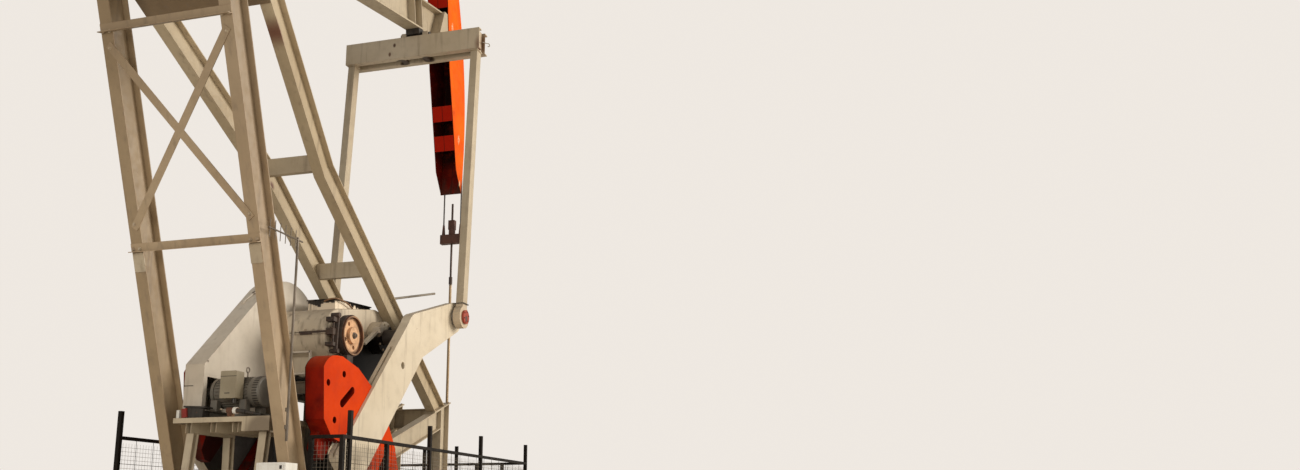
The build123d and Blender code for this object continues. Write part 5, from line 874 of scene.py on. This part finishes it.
# %% Rope and hoses
sweep_tree = Tree("sweep", [
    ("Finish", MATERIAL, None), ("Radius", LENGTH, ROPE_RADIUS),
    ("Inner share", LENGTH, 1.0), ("Turns per metre", LENGTH, 0.0), ("Step", LENGTH, 0.012)])
given = sweep_tree.given
path = sweep_tree.add("GeometryNodeMeshToCurve", ("Mesh", given[0]))
path = sweep_tree.add("GeometryNodeResampleCurve", ("Curve", path.outputs[0]),
                      ("Length", given["Step"]), mode="LENGTH")
along = sweep_tree.add("GeometryNodeSplineParameter").outputs["Length"]
twist = sweep_tree.math("MULTIPLY", along, given["Turns per metre"])
twist = sweep_tree.math("MULTIPLY", twist, 2 * pi)
path = sweep_tree.add("GeometryNodeSetCurveTilt", ("Curve", path.outputs[0]), ("Tilt", twist))
inner = sweep_tree.math("MULTIPLY", given["Radius"], given["Inner share"])
section = sweep_tree.add("GeometryNodeCurveStar", ("Points", 6), ("Inner Radius", inner),
                         ("Outer Radius", given["Radius"]))
strand = sweep_tree.add("GeometryNodeCurveToMesh", ("Curve", path.outputs[0]),
                        ("Profile Curve", section.outputs[0]), ("Fill Caps", True))
sweep_tree.end(strand.outputs[0], "Finish")


def swept(name, paths, body, values):
    """Sweeps a section along each path, a list of points in metres."""
    seed = bpy.data.meshes.new(name + "_seed")
    points, edges = [], []
    for line in paths:
        first = len(points)
        points += line
        edges += [(first + k, first + k + 1) for k in range(len(line) - 1)]
    seed.from_pydata(points, edges, [])
    return grown(name, seed, sweep_tree, values, body)


ROPE_ARC, ROPE_X, ROPE_Y, ARC_STEPS = 8.0343, 3.2843, 0.165, 60
ROPE = {"Finish": rope_steel, "Inner share": 0.82, "Turns per metre": 7.0}
low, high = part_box("head_cables")
top_rise = high.z - ROPE_RADIUS - 0.002 - PIVOT.z
top_angle = atan2(top_rise, sqrt(ROPE_ARC ** 2 - top_rise ** 2))


def on_head(y):
    """The rope's middle line on the head's face, an arc about the saddle pin."""
    angles = [top_angle * k / ARC_STEPS for k in range(ARC_STEPS + 1)]
    return [(PIVOT.x + ROPE_ARC * cos(a), y, PIVOT.z + ROPE_ARC * sin(a)) for a in angles]


head_rope = swept("head_rope", [on_head(-ROPE_Y), on_head(ROPE_Y)], "beam",
                  ROPE)
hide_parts("head_cables")
low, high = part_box("bridle_cables")
falls = swept("bridle_rope", [[(ROPE_X, y, low.z + 0.002), (ROPE_X, y, high.z - 0.002)]
                              for y in (-ROPE_Y, ROPE_Y)], None, ROPE)
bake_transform(falls)
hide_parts("bridle_cables")

# %% [markdown]
# Bolts go where the real ones hold two parts together. The rear faces of the
# rear legs lean, so one helper gives their X at any height. The rows are
# listed for the left side, and the right side gets the same.

# %% Bolts on the frame
UP, LEG_LEAN, LEG_FOOT_X, LEG_FOOT_Z = (0, 0, 1), 0.331, -2.2068, 0.4
LEG_BACK, KNEE_UP = (-1, 0, -LEG_LEAN), (-0.37, 0, 1)
SPLIT_TOP, FOOT_TOP, SADDLE_TOP, RAIL_TOP, BAR_T = 4.096, 3.491, 8.4215, 2.9005, 0.0105


def rear_x(z, outwards=0.0):
    """X of the rear faces of the rear legs at height z, or a little behind them."""
    return LEG_FOOT_X - LEG_LEAN * (z - LEG_FOOT_Z) - outwards


ROWS = [
    ((-1.38, 0.413, SPLIT_TOP), (-0.50, 0.413, SPLIT_TOP), 6, UP, 0.017),
    ((-1.433, 0.10, SPLIT_TOP), (-1.433, 0.33, SPLIT_TOP), 3, UP, 0.017),
    ((-0.30, 0.374, FOOT_TOP), (0.28, 0.374, FOOT_TOP), 4, UP, 0.020),
    ((2.285, 0.363, 3.5125), (2.285, 0.483, 3.5125), 2, KNEE_UP, 0.020),
    ((1.790, 0.363, 3.3295), (1.790, 0.483, 3.3295), 2, KNEE_UP, 0.020),
    ((-3.0, 0.843, 0.018), (2.55, 0.843, 0.018), 2, UP, 0.026),
    ((-2.83, 0.09, RAIL_TOP), (-2.05, 0.09, RAIL_TOP), 2, UP, 0.013)]
ROWS += [((x, 0.215, SADDLE_TOP), (x, 0.335, SADDLE_TOP), 2, UP, 0.024)
         for x in (-4.93, -4.57)]
for bar_z, brace_z in ((7.095, 6.90), (4.735, 4.99)):
    x, z = rear_x(bar_z, BAR_T), bar_z - 0.02
    ROWS.append(((x, 0.745, z), (x, 0.835, z), 2, LEG_BACK, 0.017))
    brace_end = (rear_x(brace_z, BAR_T), 0.775, brace_z)
    ROWS.append((brace_end, brace_end, 1, LEG_BACK, 0.017))

frame_bolts = []
for side in (-1, 1):
    for (x0, y0, z0), (x1, y1, z1), count, way, radius in ROWS:
        frame_bolts += row((x0, side * y0, z0), (x1, side * y1, z1), count, way, radius)
    frame_bolts += ring((0, side * 0.521, 4.22), 0.195, 10, (0, side, 0), 0.014)
bolts("frame_bolts", "frame", frame_paint, frame_bolts)

# %% Bolts that move
bolts("drum_nut", "input", bolt_steel,
      [((DRUM_X, -0.6155, DRUM_Z), (0, -1, 0), 0.032)])
pin_bolts = []
for side in (-1, 1):
    pin_bolts += ring((PIN_X, side * 1.2355, PIN_Z), 0.086, 6, (0, side, 0), 0.010, 0.3)
bolts("pin_cap_bolts", "pitmans", cap_bolt, pin_bolts)

# %% [markdown]
# What is neither rolled steel nor a bolt is gathered from blocks, rods and
# plates. Each group becomes one piece with one finish, so that the finished
# model stays tidy.

# %% Simple solids
ROD_SIDES, SHARP = 14, radians(35)


def prism(near, far):
    """A closed solid between two outlines with the same number of corners."""
    count = len(near)
    sides = [(k, (k + 1) % count, count + (k + 1) % count, count + k) for k in range(count)]
    return [*near, *far], [*sides, range(count), range(count, 2 * count)]


def block(centre, size, turn=0.0, about="Y"):
    """A box, turned round one axis through its centre."""
    spin, (x, y, z) = Matrix.Rotation(turn, 3, about), Vector(size) / 2
    outline = ((-y, -z), (y, -z), (y, z), (-y, z))
    return prism(*([Vector(centre) + spin @ Vector((end, a, b)) for a, b in outline]
                   for end in (-x, x)))


def rod(start, end, radius):
    """A round bar between two points."""
    a, b = Vector(start), Vector(end)
    along = (b - a).normalized()
    u = along.orthogonal().normalized()
    v = along.cross(u)
    turns = [2 * pi * k / ROD_SIDES for k in range(ROD_SIDES)]
    return prism(*([at + (u * cos(t) + v * sin(t)) * radius for t in turns] for at in (a, b)))


def kit(name, body, slot, finish, *solids):
    """Joins solids into one piece on one body."""
    points, faces = [], []
    for corners, sides in solids:
        faces += [[len(points) + k for k in side] for side in sides]
        points += [tuple(corner) for corner in corners]
    mesh = bpy.data.meshes.new(name)
    mesh.from_pydata(points, [], faces)
    mesh.materials.append(finish)
    work = bmesh.new()
    work.from_mesh(mesh)
    bmesh.ops.recalc_face_normals(work, faces=work.faces)
    work.to_mesh(mesh)
    work.free()
    mesh.polygons.foreach_set("use_smooth", [True] * len(mesh.polygons))
    mesh.set_sharp_from_angle(angle=SHARP)
    piece = plain_object(name, mesh)
    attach(piece, body)
    print(name, len(mesh.polygons), "faces on", body)


# %% [markdown]
# The gear case carries a pale bracket beside the crank boss, stiffening ribs
# on its rear face, and a hose and oil drips on its cover. Behind the drum
# stands the brake linkage: a lever, its anchors and a pull rod, all dark with
# old grease, like the mark on the split line.

# %% Fittings on the gear case
RIB_X, LEVER_X, DRIP_X = -1.446, -1.352, -0.912
kit("case_fittings", "frame", "gearbox_paint", guard_sheet,
    block((-0.40, -0.500, 4.165), (0.47, 0.07, 0.035), -0.59),
    block((-0.235, -0.520, 4.295), (0.085, 0.12, 0.070), -0.35),
    *[block((RIB_X, -0.03, z), (0.034, 0.34, 0.026)) for z in (3.515, 3.805)],
    *[block((RIB_X, y, 3.66), (0.034, 0.026, 0.316)) for y in (-0.20, 0.14)])
kit("brake_linkage", "frame", "drum_iron", band_iron,
    block((LEVER_X, -0.520, 4.06), (0.030, 0.055, 0.52), 0.06),
    block((-1.447, -0.230, SPLIT_Z), (0.008, 0.440, 0.030)),
    block((-1.447, -0.120, 4.048), (0.007, 0.180, 0.020)),
    block((-1.395, -0.470, 4.235), (0.110, 0.120, 0.060)),
    block((-1.400, -0.465, SPLIT_Z), (0.090, 0.110, 0.085)),
    block((-1.395, -0.470, 3.900), (0.110, 0.120, 0.050)),
    rod((LEVER_X, -0.44, 4.300), (LEVER_X, -0.56, 4.300), 0.034),
    rod((LEVER_X, -0.44, 3.815), (LEVER_X, -0.56, 3.815), 0.030),
    rod((-1.40, -0.50, 4.19), (-1.40, -0.50, 3.92), 0.014))
DRIPS = ((0.190, 0.050), (0.150, 0.060), (0.112, 0.072), (0.074, 0.085), (0.036, 0.104),
         (-0.002, 0.062), (-0.045, 0.046), (-0.090, 0.052), (-0.135, 0.044), (-0.178, 0.056))
kit("lid_drips", "frame", "gearbox_paint", grease_black,
    *[block((DRIP_X, y, COVER_TOP_Z - drop / 2), (0.012, 0.048, drop)) for y, drop in DRIPS])
swept("lid_hose", [[(-0.945, -0.06, 4.60), (-0.955, -0.15, 4.625), (-0.950, -0.235, 4.630),
                    (-0.90, -0.260, 4.628), (-0.80, -0.262, 4.625), (-0.66, -0.262, 4.612),
                    (-0.52, -0.250, 4.575), (-0.46, -0.235, 4.54)]],
      "frame", {"Finish": hose_brown, "Radius": 0.011, "Step": 0.03})

# %% [markdown]
# The motor has a lifting eye, cooling slots round its fan cover and a lid
# seam on its box. The platform in front of it is littered: a dark box with a
# red corner, a rusty fitting and a short black pipe.

# %% Motor and platform
SLOTS = 36
FAN_CENTRE, EYE_X, EYE_Y, EYE_Z, EYE_RADIUS = (-2.50, -0.245, 3.14), -2.455, 0.02, 3.425, 0.032
slot_tree = Tree("slots", [("Finish", MATERIAL, None)])
circle = slot_tree.add("GeometryNodeMeshCircle", ("Vertices", SLOTS), ("Radius", 0.19))
number = slot_tree.add("GeometryNodeInputIndex").outputs[0]
spin = slot_tree.vector((2, slot_tree.math("MULTIPLY", number, 2 * pi / SLOTS)))
cube = slot_tree.add("GeometryNodeMeshCube", ("Size", (0.006, 0.014, 0.07)))
spread = slot_tree.add("GeometryNodeInstanceOnPoints", ("Points", circle.outputs[0]),
                       ("Instance", cube.outputs["Mesh"]), ("Rotation", spin))
slot_tree.end(spread.outputs[0], "Finish")
seed = bpy.data.meshes.new("slots_seed")
seed.from_pydata([(0, 0, 0)], [], [])
slots = grown("fan_cover_slots", seed, slot_tree, {"Finish": grease_black}, "frame")
slots.data.transform(Matrix.Translation(FAN_CENTRE) @ Matrix.Rotation(pi / 2, 4, "X"))

eye = [(EYE_X + EYE_RADIUS * sin(k * pi / 9), EYE_Y, EYE_Z - EYE_RADIUS * cos(k * pi / 9))
       for k in range(19)]
swept("lifting_eye", [[(EYE_X, EYE_Y, 3.325), (EYE_X, EYE_Y, EYE_Z - EYE_RADIUS)], eye],
      "frame", {"Finish": bolt_steel, "Radius": 0.009, "Step": 0.02})

kit("terminal_box_marks", "frame", "motor_paint", grease_black,
    block((-2.8405, 0.012, 3.300), (0.003, 0.220, 0.006)),
    block((-2.8405, 0.020, 3.096), (0.004, 0.070, 0.010)),
    rod((-2.765, -0.03, 3.036), (-2.765, -0.03, 2.985), 0.028),
    block((-2.7515, 0.690, 3.215), (0.004, 0.012, 0.012)),
    block((-2.7515, 0.630, 3.214), (0.004, 0.120, 0.009)))
kit("platform_litter", "frame", "frame_paint", grease_black,
    block((-2.860, 0.400, 2.862), (0.13, 0.25, 0.115), 0.08, "X"),
    block((-2.862, 0.390, 2.932), (0.15, 0.30, 0.020), 0.05, "X"),
    rod((-2.930, -0.205, 2.872), (-2.925, -0.310, 2.856), 0.026),
    rod((-2.925, -0.300, 2.857), (-2.915, -0.520, 2.815), 0.014))
kit("platform_red_cover", "frame", "frame_paint", red_plastic,
    block((-2.900, 0.520, 2.860), (0.09, 0.070, 0.110), -0.12, "X"))
kit("platform_fitting", "frame", "frame_paint", drum_iron,
    rod((-2.915, -0.205, 2.872), (-2.915, -0.060, 2.880), 0.034),
    block((-2.915, -0.110, 2.840), (0.07, 0.05, 0.075)))
kit("platform_pale_parts", "frame", "frame_paint", cabinet_paint,
    rod((-2.915, -0.150, 2.876), (-2.915, -0.195, 2.873), 0.041),
    block((-2.900, 0.630, 2.850), (0.03, 0.040, 0.100)))

# %% [markdown]
# The belt guard is held by a latch bar on its sloping edge. The equalizer
# has a rope hook at its near end, and each pitman foot a black seal.

# %% Guard latch, hook and seals
kit("guard_latch", "frame", "frame_paint", guard_sheet,
    rod((-1.808, 0.633, 4.446), (-1.646, 0.577, 4.608), 0.012),
    block((-1.800, 0.630, 4.447), (0.060, 0.035, 0.022), -0.79))
kit("guard_latch_knob", "frame", "frame_paint", bolt_steel,
    rod((-1.660, 0.583, 4.592), (-1.632, 0.573, 4.620), 0.024),
    rod((-2.69, 0.426, 3.520), (-2.69, 0.431, 3.520), 0.014))
swept("equalizer_hook", [[(1.60, -1.238, 9.50), (1.74, -1.242, 9.545), (1.86, -1.240, 9.595),
                          (1.915, -1.238, 9.590), (1.905, -1.235, 9.560), (1.84, -1.235, 9.535)]],
      "pitmans", {"Finish": galvanised, "Radius": 0.007, "Step": 0.03})
kit("pitman_seals", "pitmans", "frame_paint", grease_black,
    *[block((1.262, side * 1.14, 4.940), (0.19, 0.162, 0.012)) for side in (-1, 1)])

# %% [markdown]
# A gusset ties the brace and the lower crossbar to each rear leg. It lies on
# the leaning rear face, so its outline is given in Y and Z, and the face
# gives the X of each corner.

# %% Gussets and the cabinet's door
GUSSET = ((0.71, 4.46), (0.71, 4.675), (0.86, 4.675), (0.86, 4.46))
GUSSET_GAP, GUSSET_OUT = 0.0006, 0.009
kit("rear_gussets", "frame", "frame_paint", frame_paint,
    *[prism(*([(rear_x(z, out), side * y, z) for y, z in GUSSET]
              for out in (GUSSET_GAP, GUSSET_OUT))) for side in (-1, 1)])

low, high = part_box("control_box")
middle = (low + high) / 2
kit("cabinet_door", "frame", "cabinet_paint", cabinet_paint,
    block((low.x - 0.004, middle.y, middle.z),
          (0.008, high.y - low.y - 0.04, high.z - low.z - 0.06)))
kit("cabinet_handle", "frame", "cabinet_paint", grease_black,
    block((low.x - 0.012, low.y + 0.055, high.z - 0.055), (0.010, 0.026, 0.040)),
    block((low.x - 0.012, low.y + 0.055, low.z + 0.300), (0.014, 0.022, 0.110)))
